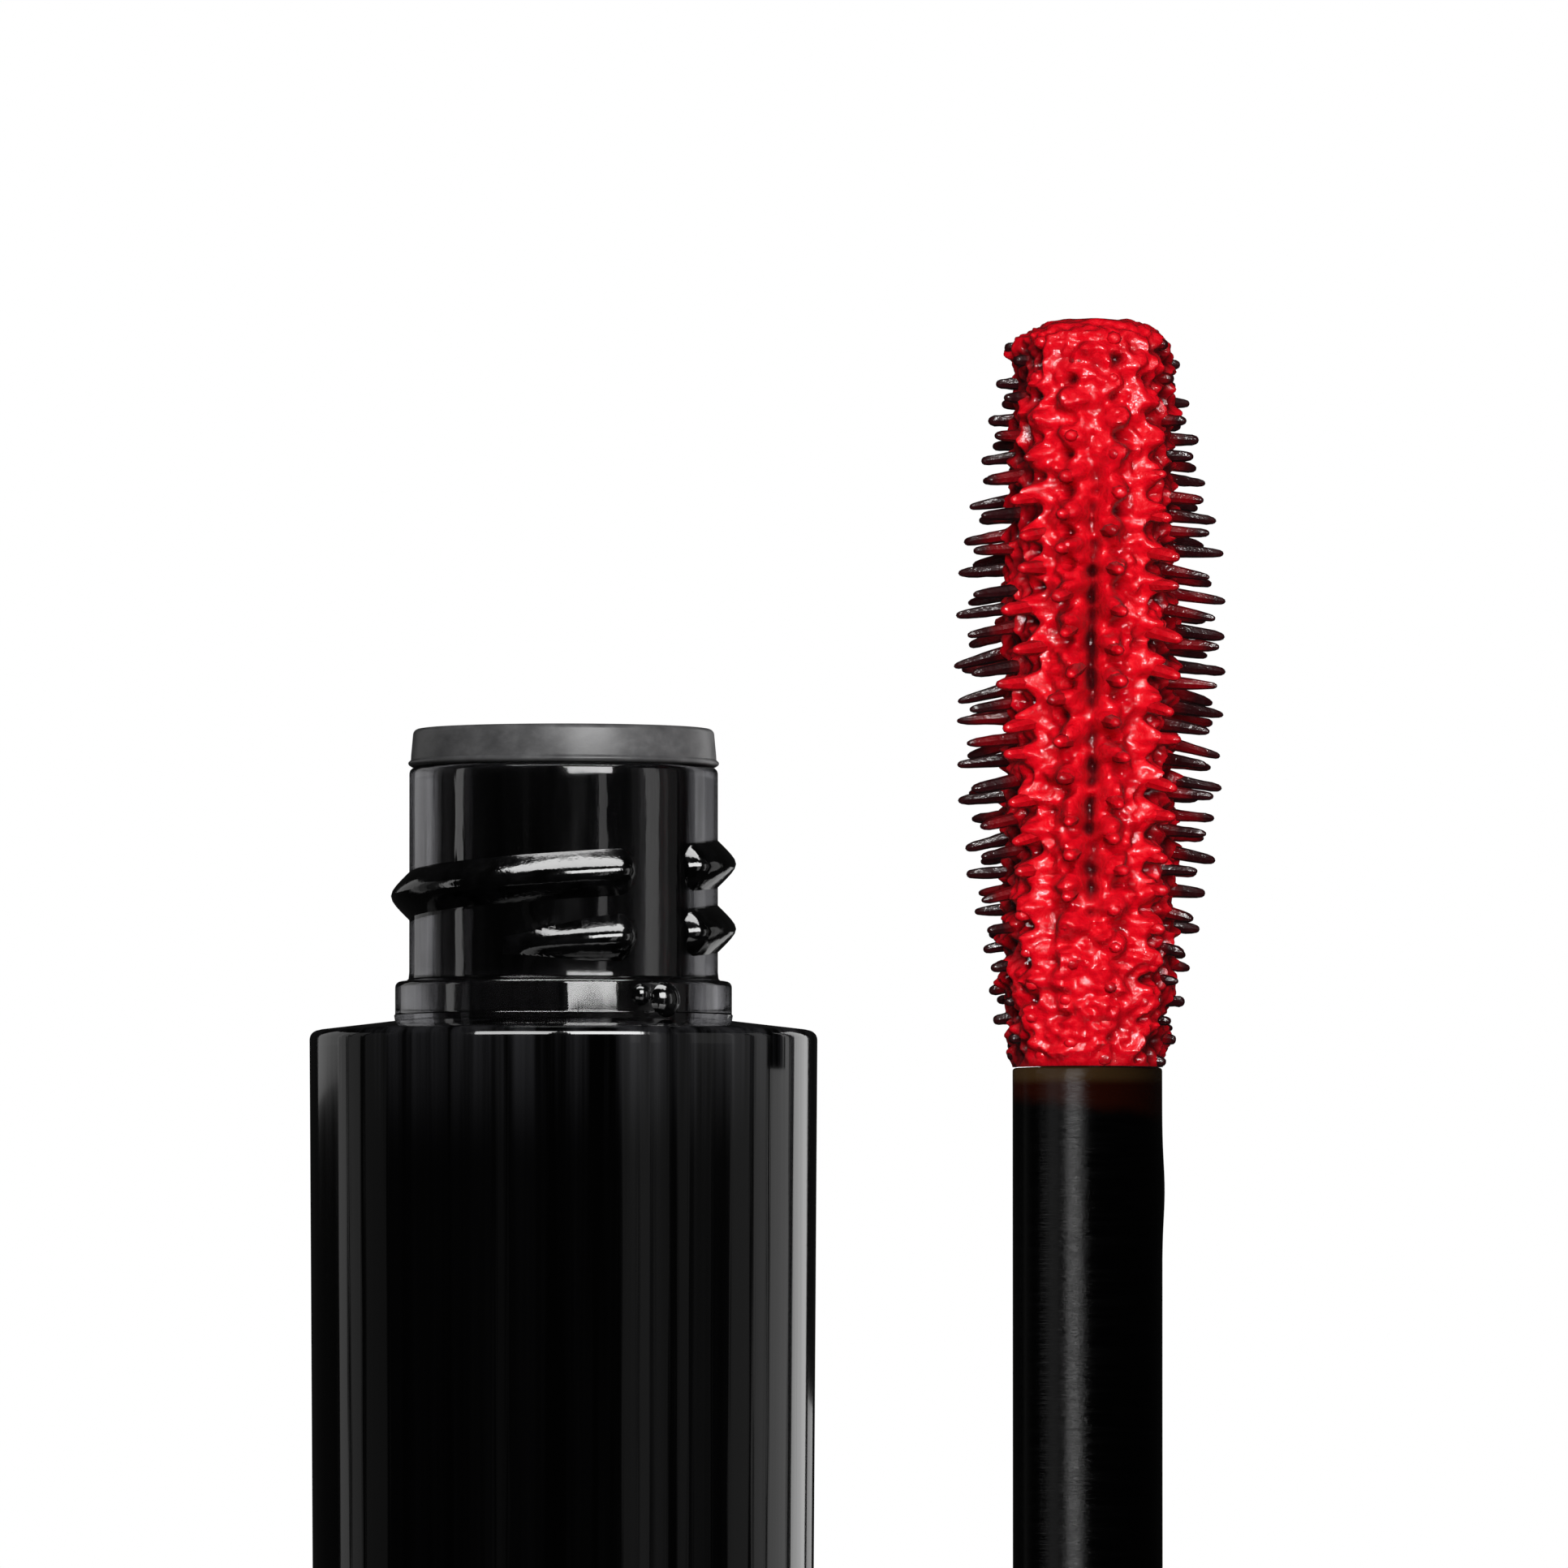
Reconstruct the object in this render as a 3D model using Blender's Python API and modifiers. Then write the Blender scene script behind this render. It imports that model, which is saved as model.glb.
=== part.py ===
"""A mascara tube with its wand beside it, as separate pieces in metres, +Z up.

The bottle stands on the origin. The wand stands on its cap beside it, brush up, as it does when
someone has unscrewed it, drawn it out and turned it over.
"""

import math

import bmesh
import bpy
from mathutils import Matrix, Vector

MM = 0.001
STEPS = 40  # sides of a large turned piece
SLIM_STEPS = 24  # sides of a stem, a core or a pin
GAP = 0.3 * MM  # between two pieces that touch on the real object

# The bottle
BODY_R = 9.5 * MM
BASE_R = 9.0 * MM
SHOULDER_Z = 74.0 * MM
SHOULDER_RISE = 0.33 * MM
SHOULDER_WALL = 1.1 * MM
SHELL_BORE_R = 7.6 * MM
EDGE_R = 0.35 * MM
PLUG_TOP_Z = 2.2 * MM
PLUG_GROOVE_Z = 0.9 * MM
PLUG_GROOVE_DEPTH = 0.3 * MM

# The vial, its neck and its thread
VIAL_R = 7.2 * MM
VIAL_BORE_R = 6.4 * MM
VIAL_BASE_Z = 2.8 * MM
VIAL_FLOOR_Z = 4.0 * MM
COLLAR_R = 6.3 * MM
COLLAR_TOP_Z = 75.8 * MM
VIAL_TAPER_BELOW = 1.6 * MM  # how far under the vial's shoulder its bore starts to narrow
VIAL_TAPER_ABOVE = 0.6 * MM  # how far over it the bore is the neck's
NECK_R = 5.775 * MM
NECK_BORE_R = 4.95 * MM
NECK_TOP_Z = 83.6 * MM
THREAD_CREST_R = 6.46 * MM
THREAD_LEAD = 2.43 * MM
THREAD_ROOT_WIDTH = 1.5 * MM
THREAD_CREST_WIDTH = 0.35 * MM
THREAD_SINK = 0.25 * MM  # how far a ridge's foot is sunk in its wall
THREAD_RIGHT_Z = 77.77 * MM  # height of the ridge's middle as it first crosses +X
THREAD_RUNS_DEG = ((-106, -62), (-38, 118), (142, 298), (322, 430))
LUG_R = 0.75 * MM
LUG_SPOT_R = 5.8 * MM
LUG_ANGLE_DEG = -48

# The wiper and the formula in the vial
RIM_BASE_Z = 83.85 * MM
RIM_TOP_Z = 85.25 * MM
RIM_BASE_R = 5.82 * MM
RIM_TOP_R = 5.64 * MM
RIM_LEAD_IN = 0.3 * MM  # width of the cone that guides the brush in at the rim
RIM_LEAD_DEPTH = 0.5 * MM
WIPER_R = 4.7 * MM
WIPER_BORE_R = 4.2 * MM
WIPER_CONE_Z = 74.5 * MM
WIPER_LIP_Z = 71.4 * MM
WIPER_LIP_R = 2.95 * MM
WIPER_LIP_WALL = 0.55 * MM
FORMULA_R = 6.1 * MM
FORMULA_BORE_R = 5.5 * MM
FORMULA_FLOOR = 0.9 * MM
FORMULA_TOP_Z = 66.0 * MM

# The wand, standing on its cap
WAND_X = 19.6 * MM
CAP_R = 9.5 * MM
CAP_BORE_R = 8.5 * MM
CAP_H = 38.0 * MM
CAP_PLATE = 1.6 * MM
INSERT_R = 8.2 * MM
INSERT_TOP_Z = 37.6 * MM
INSERT_BASE_Z = 18.0 * MM
INSERT_WEB_Z = (23.4 * MM, 26.0 * MM)
INSERT_THREAD_BORE_R = 6.75 * MM
INSERT_POCKET_R = 5.2 * MM
INSERT_CREST_R = 6.15 * MM
INSERT_ROOT_WIDTH = 1.05 * MM
INSERT_CREST_WIDTH = 0.5 * MM
INSERT_RUN_DEG = (-400, -20)  # angles about the wand that its ridge covers
CLOSED_TOP_Z = 112.3 * MM  # height of the cap's top when the tube is closed
SEAL_Z = (26.3 * MM, 26.8 * MM)
SEAL_R = (3.4 * MM, 5.9 * MM)
WEIGHT_Z = (5.9 * MM, 13.9 * MM)
WEIGHT_R = (3.1 * MM, 7.4 * MM)
STEM_R = 2.795 * MM
STEM_BORE_R = 0.9 * MM
STEM_BASE_Z = 7.0 * MM
STEM_FLANGE_R = 4.6 * MM
STEM_FLANGE_Z = (21.4 * MM, 23.1 * MM)
BRUSH_BASE_Z = 72.6 * MM
CORE_R = 1.85 * MM
CORE_TOP_Z = 100.1 * MM
PIN_R = 0.5 * MM
PIN_Z = (88.0 * MM, 99.0 * MM)
PIN_STEPS = 12
TURNOVER_PIVOT = (9.8 * MM, 0.0, 96.0 * MM)  # on the axis that the wand turns over about

# The bristles
BRISTLE_COLUMNS = 14
BRISTLE_ROWS = 38
BRISTLE_BORE_R = 2.15 * MM
BRISTLE_ROOT_R = 2.7 * MM
BRISTLE_TIP_SCALE = 0.4
BRUSH_LENGTH = 26.9 * MM
WAIST_TIP_R = 3.0 * MM
BARREL_TIP_R = 5.2 * MM
NOSE_TIP_R = 3.2 * MM
BARREL_HEIGHT = 15.4 * MM  # where the tips reach furthest, above the brush's base
WAIST_POWER = 0.85  # how fast the tips widen above the waist
NOSE_POWER = 1.75  # how late they narrow to the nose


def clear_scene():
    """Remove what the file opened with."""
    for item in list(bpy.data.objects):
        bpy.data.objects.remove(item, do_unlink=True)


def collection(name):
    """A new collection in the scene."""
    made = bpy.data.collections.new(name)
    bpy.context.scene.collection.children.link(made)
    return made


def material(name, colour, roughness, metallic=0.0):
    """A plain Principled material."""
    made = bpy.data.materials.new(name)
    made.use_nodes = True
    shader = made.node_tree.nodes["Principled BSDF"]
    shader.inputs["Base Color"].default_value = (*colour, 1.0)
    shader.inputs["Roughness"].default_value = roughness
    shader.inputs["Metallic"].default_value = metallic
    return made


def add_mesh(name, mesh, where, x=0.0):
    """An object for a mesh, placed on an axis at x."""
    made = bpy.data.objects.new(name, mesh)
    made.location.x = x
    where.objects.link(made)
    return made


def turned(name, outline, where, closed=False, x=0.0, steps=STEPS):
    """A turned solid: an outline of (radius, height) points and a Screw modifier.

    The outline runs down its outer side. A closed one makes a ring, an open one meets the axis.
    """
    mesh = bpy.data.meshes.new(name)
    work = bmesh.new()
    points = [work.verts.new((radius, 0.0, height)) for radius, height in outline]
    for first, second in zip(points, points[1:]):
        work.edges.new((first, second))
    if closed:
        work.edges.new((points[-1], points[0]))
    work.to_mesh(mesh)
    work.free()
    made = add_mesh(name, mesh, where, x)
    screw = made.modifiers.new("Turn", "SCREW")
    screw.axis = "Z"
    screw.steps = steps
    screw.render_steps = steps
    screw.use_merge_vertices = True
    screw.merge_threshold = 0.01 * MM
    screw.use_smooth_shade = True
    return made


def arc(centre_r, centre_z, radius, start_deg, end_deg, points=4):
    """Points of a round corner in an outline."""
    made = []
    for step in range(points):
        angle = math.radians(start_deg + (end_deg - start_deg) * step / (points - 1))
        made.append((centre_r + radius * math.cos(angle), centre_z + radius * math.sin(angle)))
    return made


def ridge(name, where, foot_r, crest_r, widths, run_deg, height_at, x=0.0):
    """One run of thread: a tapered face spun about the axis as it climbs.

    widths are those of its foot and crest, and height_at gives the height of its middle at an
    angle in degrees.
    """
    foot, crest = (width / 2 for width in widths)
    start, end = run_deg
    low, high = height_at(start), height_at(end)
    work = bmesh.new()
    corners = (
        (foot_r, low - foot),
        (crest_r, low - crest),
        (crest_r, low + crest),
        (foot_r, low + foot),
    )
    face = work.faces.new([work.verts.new((radius, 0.0, height)) for radius, height in corners])
    turn = Matrix.Rotation(math.radians(start), 4, "Z")
    bmesh.ops.transform(work, matrix=turn, verts=work.verts)
    steps = max(3, round(abs(end - start) * STEPS / 360))
    bmesh.ops.spin(
        work,
        geom=[face, *face.edges, *face.verts],
        cent=(0.0, 0.0, 0.0),
        axis=(0.0, 0.0, 1.0),
        dvec=(0.0, 0.0, (high - low) / steps),
        angle=math.radians(end - start),
        steps=steps,
    )
    bmesh.ops.recalc_face_normals(work, faces=work.faces)
    mesh = bpy.data.meshes.new(name)
    work.to_mesh(mesh)
    work.free()
    return add_mesh(name, mesh, where, x)


def boolean(target, tool, operation):
    """An exact Boolean of one hidden tool on a piece."""
    tool.hide_render = True
    tool.display_type = "WIRE"
    change = target.modifiers.new(tool.name, "BOOLEAN")
    change.operation = operation
    change.solver = "EXACT"
    change.object = tool


def neck_thread_height(angle_deg):
    """Height of the middle of the neck's ridge at an angle about the bottle."""
    return THREAD_RIGHT_Z + THREAD_LEAD * angle_deg / 360


def insert_thread_height(angle_deg):
    """Height of the cap's ridge at an angle about the wand, so that it lies between the neck's
    turns when the tube is closed."""
    closed_height = neck_thread_height(-angle_deg) + THREAD_LEAD / 2
    return CLOSED_TOP_Z - closed_height


def tip_radius(height):
    """Radius of the bristles' tips at a height above the brush's base: a barrel that narrows to
    a waist at the stem and to a round nose."""
    if height < BARREL_HEIGHT:
        swell = math.sin(math.pi / 2 * height / BARREL_HEIGHT) ** WAIST_POWER
        return WAIST_TIP_R + (BARREL_TIP_R - WAIST_TIP_R) * swell
    fall = ((height - BARREL_HEIGHT) / (BRUSH_LENGTH - BARREL_HEIGHT)) ** NOSE_POWER
    return BARREL_TIP_R - (BARREL_TIP_R - NOSE_TIP_R) * fall


def bottle_shell(parts):
    """The thick outer bottle: open at its base, with a sloped shoulder and a hole for the neck."""
    hole_r = COLLAR_R + GAP
    slope = SHOULDER_RISE / (BODY_R - COLLAR_R)
    edge_z = SHOULDER_Z - EDGE_R
    ceiling_z = SHOULDER_Z - SHOULDER_WALL
    outline = [
        (hole_r, SHOULDER_Z + slope * (BODY_R - hole_r)),
        *arc(BODY_R - EDGE_R, edge_z, EDGE_R, 84, 0),
        (BASE_R, 2 * EDGE_R),
        *arc(BASE_R - 2 * EDGE_R, 2 * EDGE_R, 2 * EDGE_R, -30, -90, 3),
        (SHELL_BORE_R, 0.0),
        (SHELL_BORE_R, ceiling_z),
        (hole_r, ceiling_z),
    ]
    made = turned("bottle_shell", outline, parts, closed=True)
    made.data.materials.append(material("bottle_shell", (0.03, 0.03, 0.032), 0.08))


def base_plug(parts):
    """The disc that closes the shell's base, with a snap groove round its edge."""
    radius = SHELL_BORE_R - GAP
    outline = [
        (0.0, PLUG_TOP_Z),
        (radius, PLUG_TOP_Z),
        (radius, PLUG_GROOVE_Z + 2 * PLUG_GROOVE_DEPTH),
        (radius - PLUG_GROOVE_DEPTH, PLUG_GROOVE_Z + PLUG_GROOVE_DEPTH),
        (radius, PLUG_GROOVE_Z),
        (radius, 0.0),
        (0.0, 0.0),
    ]
    made = turned("base_plug", outline, parts)
    made.data.materials.append(material("base_plug", (0.02, 0.02, 0.022), 0.35))


def inner_vial(parts, tools):
    """The vial with its neck, collar, interrupted thread and stop lug."""
    shoulder_z = SHOULDER_Z - SHOULDER_WALL - GAP
    outline = [
        (0.0, VIAL_FLOOR_Z),
        (VIAL_BORE_R, VIAL_FLOOR_Z),
        (VIAL_BORE_R, shoulder_z - VIAL_TAPER_BELOW),
        (NECK_BORE_R, shoulder_z + VIAL_TAPER_ABOVE),
        (NECK_BORE_R, NECK_TOP_Z),
        (NECK_R, NECK_TOP_Z),
        (NECK_R, COLLAR_TOP_Z),
        *arc(COLLAR_R - EDGE_R, COLLAR_TOP_Z - EDGE_R, EDGE_R, 90, 0, 3),
        (COLLAR_R, shoulder_z),
        (VIAL_R, shoulder_z),
        (VIAL_R, VIAL_BASE_Z),
        (0.0, VIAL_BASE_Z),
    ]
    made = turned("inner_vial", outline, parts)
    widths = (THREAD_ROOT_WIDTH, THREAD_CREST_WIDTH)
    for number, run in enumerate(THREAD_RUNS_DEG, 1):
        name = f"neck_thread_{number}"
        tool = ridge(
            name, tools, NECK_R - THREAD_SINK, THREAD_CREST_R, widths, run, neck_thread_height
        )
        boolean(made, tool, "UNION")
    boolean(made, stop_lug(tools), "UNION")
    made.data.materials.append(material("inner_vial", (0.16, 0.16, 0.17), 0.12))


def stop_lug(tools):
    """The small dome on the collar that clicks against the closed cap."""
    angle = math.radians(LUG_ANGLE_DEG)
    mesh = bpy.data.meshes.new("stop_lug")
    work = bmesh.new()
    bmesh.ops.create_uvsphere(work, u_segments=12, v_segments=8, radius=LUG_R)
    middle_z = COLLAR_TOP_Z - LUG_R
    spot = Vector((LUG_SPOT_R * math.cos(angle), LUG_SPOT_R * math.sin(angle), middle_z))
    bmesh.ops.translate(work, verts=work.verts, vec=spot)
    work.to_mesh(mesh)
    work.free()
    return add_mesh("stop_lug", mesh, tools)


def wiper(parts):
    """The soft insert in the neck: rim, sleeve and the cone that wipes the stem."""
    outline = [
        (WIPER_BORE_R + RIM_LEAD_IN, RIM_TOP_Z),
        (RIM_TOP_R, RIM_TOP_Z),
        (RIM_BASE_R, RIM_BASE_Z),
        (WIPER_R, RIM_BASE_Z),
        (WIPER_R, WIPER_CONE_Z),
        (WIPER_LIP_R + WIPER_LIP_WALL, WIPER_LIP_Z),
        (WIPER_LIP_R, WIPER_LIP_Z),
        (WIPER_BORE_R, WIPER_CONE_Z),
        (WIPER_BORE_R, RIM_TOP_Z - RIM_LEAD_DEPTH),
    ]
    made = turned("wiper", outline, parts, closed=True)
    made.data.materials.append(material("wiper", (0.24, 0.24, 0.25), 0.45))


def formula_lining(parts):
    """The formula that coats the vial's wall and floor."""
    floor_z = VIAL_FLOOR_Z + GAP
    outline = [
        (0.0, floor_z + FORMULA_FLOOR),
        (FORMULA_BORE_R, floor_z + FORMULA_FLOOR),
        (FORMULA_BORE_R, FORMULA_TOP_Z),
        (FORMULA_R, FORMULA_TOP_Z),
        (FORMULA_R, floor_z),
        (0.0, floor_z),
    ]
    made = turned("formula_lining", outline, parts)
    made.data.materials.append(material("formula_lining", (0.6, 0.01, 0.02), 0.25))


def cap_shell(parts):
    """The outer cap, standing on its closed end."""
    outline = [
        (0.0, CAP_PLATE),
        (CAP_BORE_R, CAP_PLATE),
        (CAP_BORE_R, CAP_H),
        *arc(CAP_R - EDGE_R, CAP_H - EDGE_R, EDGE_R, 90, 0, 3),
        *arc(CAP_R - 2 * EDGE_R, 2 * EDGE_R, 2 * EDGE_R, 0, -90, 4),
        (0.0, 0.0),
    ]
    made = turned("cap_shell", outline, parts, x=WAND_X)
    made.data.materials.append(material("cap_shell", (0.015, 0.015, 0.016), 0.12))


def inner_cap(parts, tools):
    """The cap's insert: a threaded sleeve and a web that grips the stem above its flange."""
    web_low, web_high = INSERT_WEB_Z
    outline = [
        (INSERT_THREAD_BORE_R, INSERT_TOP_Z),
        (INSERT_R, INSERT_TOP_Z),
        (INSERT_R, INSERT_BASE_Z),
        (INSERT_POCKET_R, INSERT_BASE_Z),
        (INSERT_POCKET_R, web_low),
        (STEM_R + GAP, web_low),
        (STEM_R + GAP, web_high),
        (INSERT_THREAD_BORE_R, web_high),
    ]
    made = turned("inner_cap", outline, parts, closed=True, x=WAND_X)
    low, high = INSERT_RUN_DEG
    tool = ridge(
        "cap_thread",
        tools,
        INSERT_THREAD_BORE_R + THREAD_SINK,
        INSERT_CREST_R,
        (INSERT_ROOT_WIDTH, INSERT_CREST_WIDTH),
        (low, high),
        insert_thread_height,
        x=WAND_X,
    )
    boolean(made, tool, "UNION")
    made.data.materials.append(material("inner_cap", (0.7, 0.7, 0.7), 0.4))


def ring(name, radii, heights, parts, steps=STEPS):
    """A plain turned ring on the wand's axis."""
    outline = [
        (radii[0], heights[1]),
        (radii[1], heights[1]),
        (radii[1], heights[0]),
        (radii[0], heights[0]),
    ]
    return turned(name, outline, parts, closed=True, x=WAND_X, steps=steps)


def cap_seal_ring(parts):
    """The liner that closes on the wiper's rim."""
    made = ring("cap_seal_ring", SEAL_R, SEAL_Z, parts)
    made.data.materials.append(material("cap_seal_ring", (0.8, 0.8, 0.78), 0.6))


def cap_weight(parts):
    """The steel ring in the cap's closed end."""
    made = ring("cap_weight", WEIGHT_R, WEIGHT_Z, parts)
    made.data.materials.append(material("cap_weight", (0.5, 0.5, 0.5), 0.3, 1.0))


def stem(parts):
    """The hollow stem, with the flange that the inner cap's web holds."""
    low, high = STEM_FLANGE_Z
    outline = [
        (STEM_BORE_R, BRUSH_BASE_Z - GAP),
        (STEM_R, BRUSH_BASE_Z - GAP),
        (STEM_R, high),
        (STEM_FLANGE_R, high),
        (STEM_FLANGE_R, low),
        (STEM_R, low),
        (STEM_R, STEM_BASE_Z),
        (STEM_BORE_R, STEM_BASE_Z),
    ]
    made = turned("stem", outline, parts, closed=True, x=WAND_X, steps=SLIM_STEPS)
    made.data.materials.append(material("stem", (0.02, 0.02, 0.02), 0.4))


def brush_core(parts):
    """The rigid core under the bristles, a thin cup with a round nose."""
    nose = arc(0.0, CORE_TOP_Z - CORE_R, CORE_R, 0, 90, 5)
    outline = [
        (0.0, CORE_TOP_Z),
        *nose[-2:0:-1],
        (CORE_R, CORE_TOP_Z - CORE_R),
        (CORE_R, BRUSH_BASE_Z),
        (STEM_BORE_R, BRUSH_BASE_Z),
        (STEM_BORE_R, PIN_Z[1] + GAP),
        (0.0, PIN_Z[1] + GAP),
    ]
    made = turned("brush_core", outline, parts, x=WAND_X, steps=SLIM_STEPS)
    made.data.materials.append(material("brush_core", (0.05, 0.05, 0.05), 0.4))


def brush_stiffener_pin(parts):
    """The thin pin inside the core, held by an empty on the axis it turns over about."""
    low, high = PIN_Z
    outline = [(0.0, high), (PIN_R, high), (PIN_R, low), (0.0, low)]
    made = turned("brush_stiffener_pin", outline, parts, x=WAND_X, steps=PIN_STEPS)
    pivot = bpy.data.objects.new("turnover_pivot", None)
    pivot.location = TURNOVER_PIVOT
    parts.objects.link(pivot)
    made.parent = pivot
    made.matrix_parent_inverse = Matrix.Translation(-Vector(TURNOVER_PIVOT))
    made.data.materials.append(material("brush_stiffener_pin", (0.5, 0.5, 0.5), 0.3, 1.0))


def bristle_sleeve(parts):
    """The moulded bristles: a sleeve of faces, every second one drawn out to a tapered tip."""
    work = bmesh.new()
    bmesh.ops.create_grid(
        work, x_segments=BRISTLE_COLUMNS, y_segments=BRISTLE_ROWS, size=0.5
    )
    for point in work.verts:
        turn = 2 * math.pi * (point.co.x + 0.5)
        height = BRUSH_BASE_Z + BRUSH_LENGTH * (point.co.y + 0.5)
        point.co = (BRISTLE_ROOT_R * math.cos(turn), BRISTLE_ROOT_R * math.sin(turn), height)
    bmesh.ops.remove_doubles(work, verts=work.verts, dist=0.01 * MM)
    work.normal_update()
    chosen = []
    for face in work.faces:
        middle = face.calc_center_median()
        row = int((middle.z - BRUSH_BASE_Z) / BRUSH_LENGTH * BRISTLE_ROWS)
        turn = math.atan2(middle.y, middle.x) % (2 * math.pi)
        column = int(turn / (2 * math.pi) * BRISTLE_COLUMNS)
        if (row + column) % 2 == 0:
            chosen.append(face)
    for face in chosen:
        tip = bmesh.ops.extrude_discrete_faces(work, faces=[face])["faces"][0]
        middle = tip.calc_center_median()
        reach = tip_radius(middle.z - BRUSH_BASE_Z) - math.hypot(middle.x, middle.y)
        outward = Vector((middle.x, middle.y, 0.0)).normalized()
        for corner in tip.verts:
            corner.co = middle + (corner.co - middle) * BRISTLE_TIP_SCALE + outward * reach
    open_edges = [edge for edge in work.edges if edge.is_boundary]
    bore = bmesh.ops.extrude_edge_only(work, edges=open_edges)["geom"]
    moved = [item for item in bore if isinstance(item, bmesh.types.BMVert)]
    for point in moved:
        scale = BRISTLE_BORE_R / math.hypot(point.co.x, point.co.y)
        point.co = (point.co.x * scale, point.co.y * scale, point.co.z)
    inner = [edge for edge in work.edges if edge.is_boundary]
    bmesh.ops.bridge_loops(work, edges=inner)
    bmesh.ops.recalc_face_normals(work, faces=work.faces)
    mesh = bpy.data.meshes.new("bristle_sleeve")
    work.to_mesh(mesh)
    work.free()
    made = add_mesh("bristle_sleeve", mesh, parts, WAND_X)
    made.data.materials.append(material("bristle_sleeve", (0.25, 0.01, 0.015), 0.3))


def main():
    clear_scene()
    parts = collection("mascara_tube")
    tools = collection("cutting_tools")
    bottle_shell(parts)
    base_plug(parts)
    inner_vial(parts, tools)
    wiper(parts)
    formula_lining(parts)
    cap_shell(parts)
    inner_cap(parts, tools)
    cap_seal_ring(parts)
    cap_weight(parts)
    stem(parts)
    brush_core(parts)
    bristle_sleeve(parts)
    brush_stiffener_pin(parts)


main()
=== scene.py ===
"""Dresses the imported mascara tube: its finishes, its turned and moulded surfaces, and a studio.

It is laid out as a Blender add-on. Every operator makes one piece or one group of like pieces.
"""

import math
import random

import bmesh
import bpy
from bpy.props import FloatProperty, IntProperty, PointerProperty, StringProperty
from mathutils import Matrix, Vector, noise


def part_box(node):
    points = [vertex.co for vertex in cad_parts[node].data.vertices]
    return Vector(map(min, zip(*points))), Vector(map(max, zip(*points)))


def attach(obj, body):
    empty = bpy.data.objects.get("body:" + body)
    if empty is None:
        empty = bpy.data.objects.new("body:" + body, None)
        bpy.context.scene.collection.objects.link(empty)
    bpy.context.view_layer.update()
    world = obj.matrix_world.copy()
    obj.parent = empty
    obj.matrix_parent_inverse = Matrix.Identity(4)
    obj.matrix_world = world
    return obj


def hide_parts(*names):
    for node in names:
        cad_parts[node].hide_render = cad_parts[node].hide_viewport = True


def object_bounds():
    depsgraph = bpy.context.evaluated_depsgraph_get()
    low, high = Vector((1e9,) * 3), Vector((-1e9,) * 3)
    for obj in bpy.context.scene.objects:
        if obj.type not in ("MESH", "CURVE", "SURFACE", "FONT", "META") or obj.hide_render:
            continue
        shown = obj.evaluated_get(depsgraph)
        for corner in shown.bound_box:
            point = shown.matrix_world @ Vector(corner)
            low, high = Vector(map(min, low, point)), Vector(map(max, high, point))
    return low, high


bl_info = {
    "name": "Mascara tube",
    "version": (1, 0, 0),
    "blender": (4, 5, 0),
    "location": "3D View > Sidebar > Mascara",
    "description": "Makes the finished surfaces of a mascara tube and its brush",
    "category": "Object",
}

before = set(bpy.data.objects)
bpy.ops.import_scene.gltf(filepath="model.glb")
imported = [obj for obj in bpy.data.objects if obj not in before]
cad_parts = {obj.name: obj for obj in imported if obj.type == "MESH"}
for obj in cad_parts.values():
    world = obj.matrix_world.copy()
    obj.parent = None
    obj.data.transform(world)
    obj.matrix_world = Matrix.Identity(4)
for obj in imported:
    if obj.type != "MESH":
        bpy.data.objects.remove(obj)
CAD_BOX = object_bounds()

MM = 0.001
FINE_SIDES = 128  # sides of a large turned piece, enough for clean reflections
SLIM_SIDES = 64

# The frame gives these places and sizes
SHELL_LOW, SHELL_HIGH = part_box("bottle_shell")
VIAL_LOW, VIAL_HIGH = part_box("inner_vial")
WIPER_LOW, WIPER_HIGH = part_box("wiper")
STEM_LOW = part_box("stem")[0]
CAP_LOW, CAP_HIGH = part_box("cap_shell")
INSERT_LOW, INSERT_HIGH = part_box("inner_cap")
BODY_R = (SHELL_HIGH.x - SHELL_LOW.x) / 2
VIAL_R = (VIAL_HIGH.x - VIAL_LOW.x) / 2
RIM_TOP_Z = WIPER_HIGH.z
WAND_X = (CAP_LOW.x + CAP_HIGH.x) / 2
BRUSH_BASE_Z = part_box("brush_core")[0].z

# The boxes don't hold these, so they repeat the CAD's own values, but for the stem
NECK_R = 5.775 * MM
NECK_BORE_R = 4.95 * MM
COLLAR_R = 6.3 * MM
COLLAR_TOP_Z = 75.8 * MM
VIAL_SHOULDER_Z = 72.6 * MM
VIAL_BORE_R = 6.4 * MM
VIAL_FLOOR_Z = 4.0 * MM
THREAD_RIGHT_Z = 77.77 * MM  # height of the ridge's middle as it first crosses +X
CLOSED_TOP_Z = 112.3 * MM  # height of the cap's top when the tube is closed
SHELL_BORE_R = 7.6 * MM
STEM_BORE_R = 0.9 * MM
STEM_R = 2.8 * MM  # 0.005 mm more than the CAD's

FRONT = -math.pi / 2  # the angle that faces a person looking along +Y
SHARP = math.radians(38)  # an edge bent more than this stays crisp
MATT = (1, 0)  # a light for matt surfaces alone
GLOSSY = (0, 1)


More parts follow.
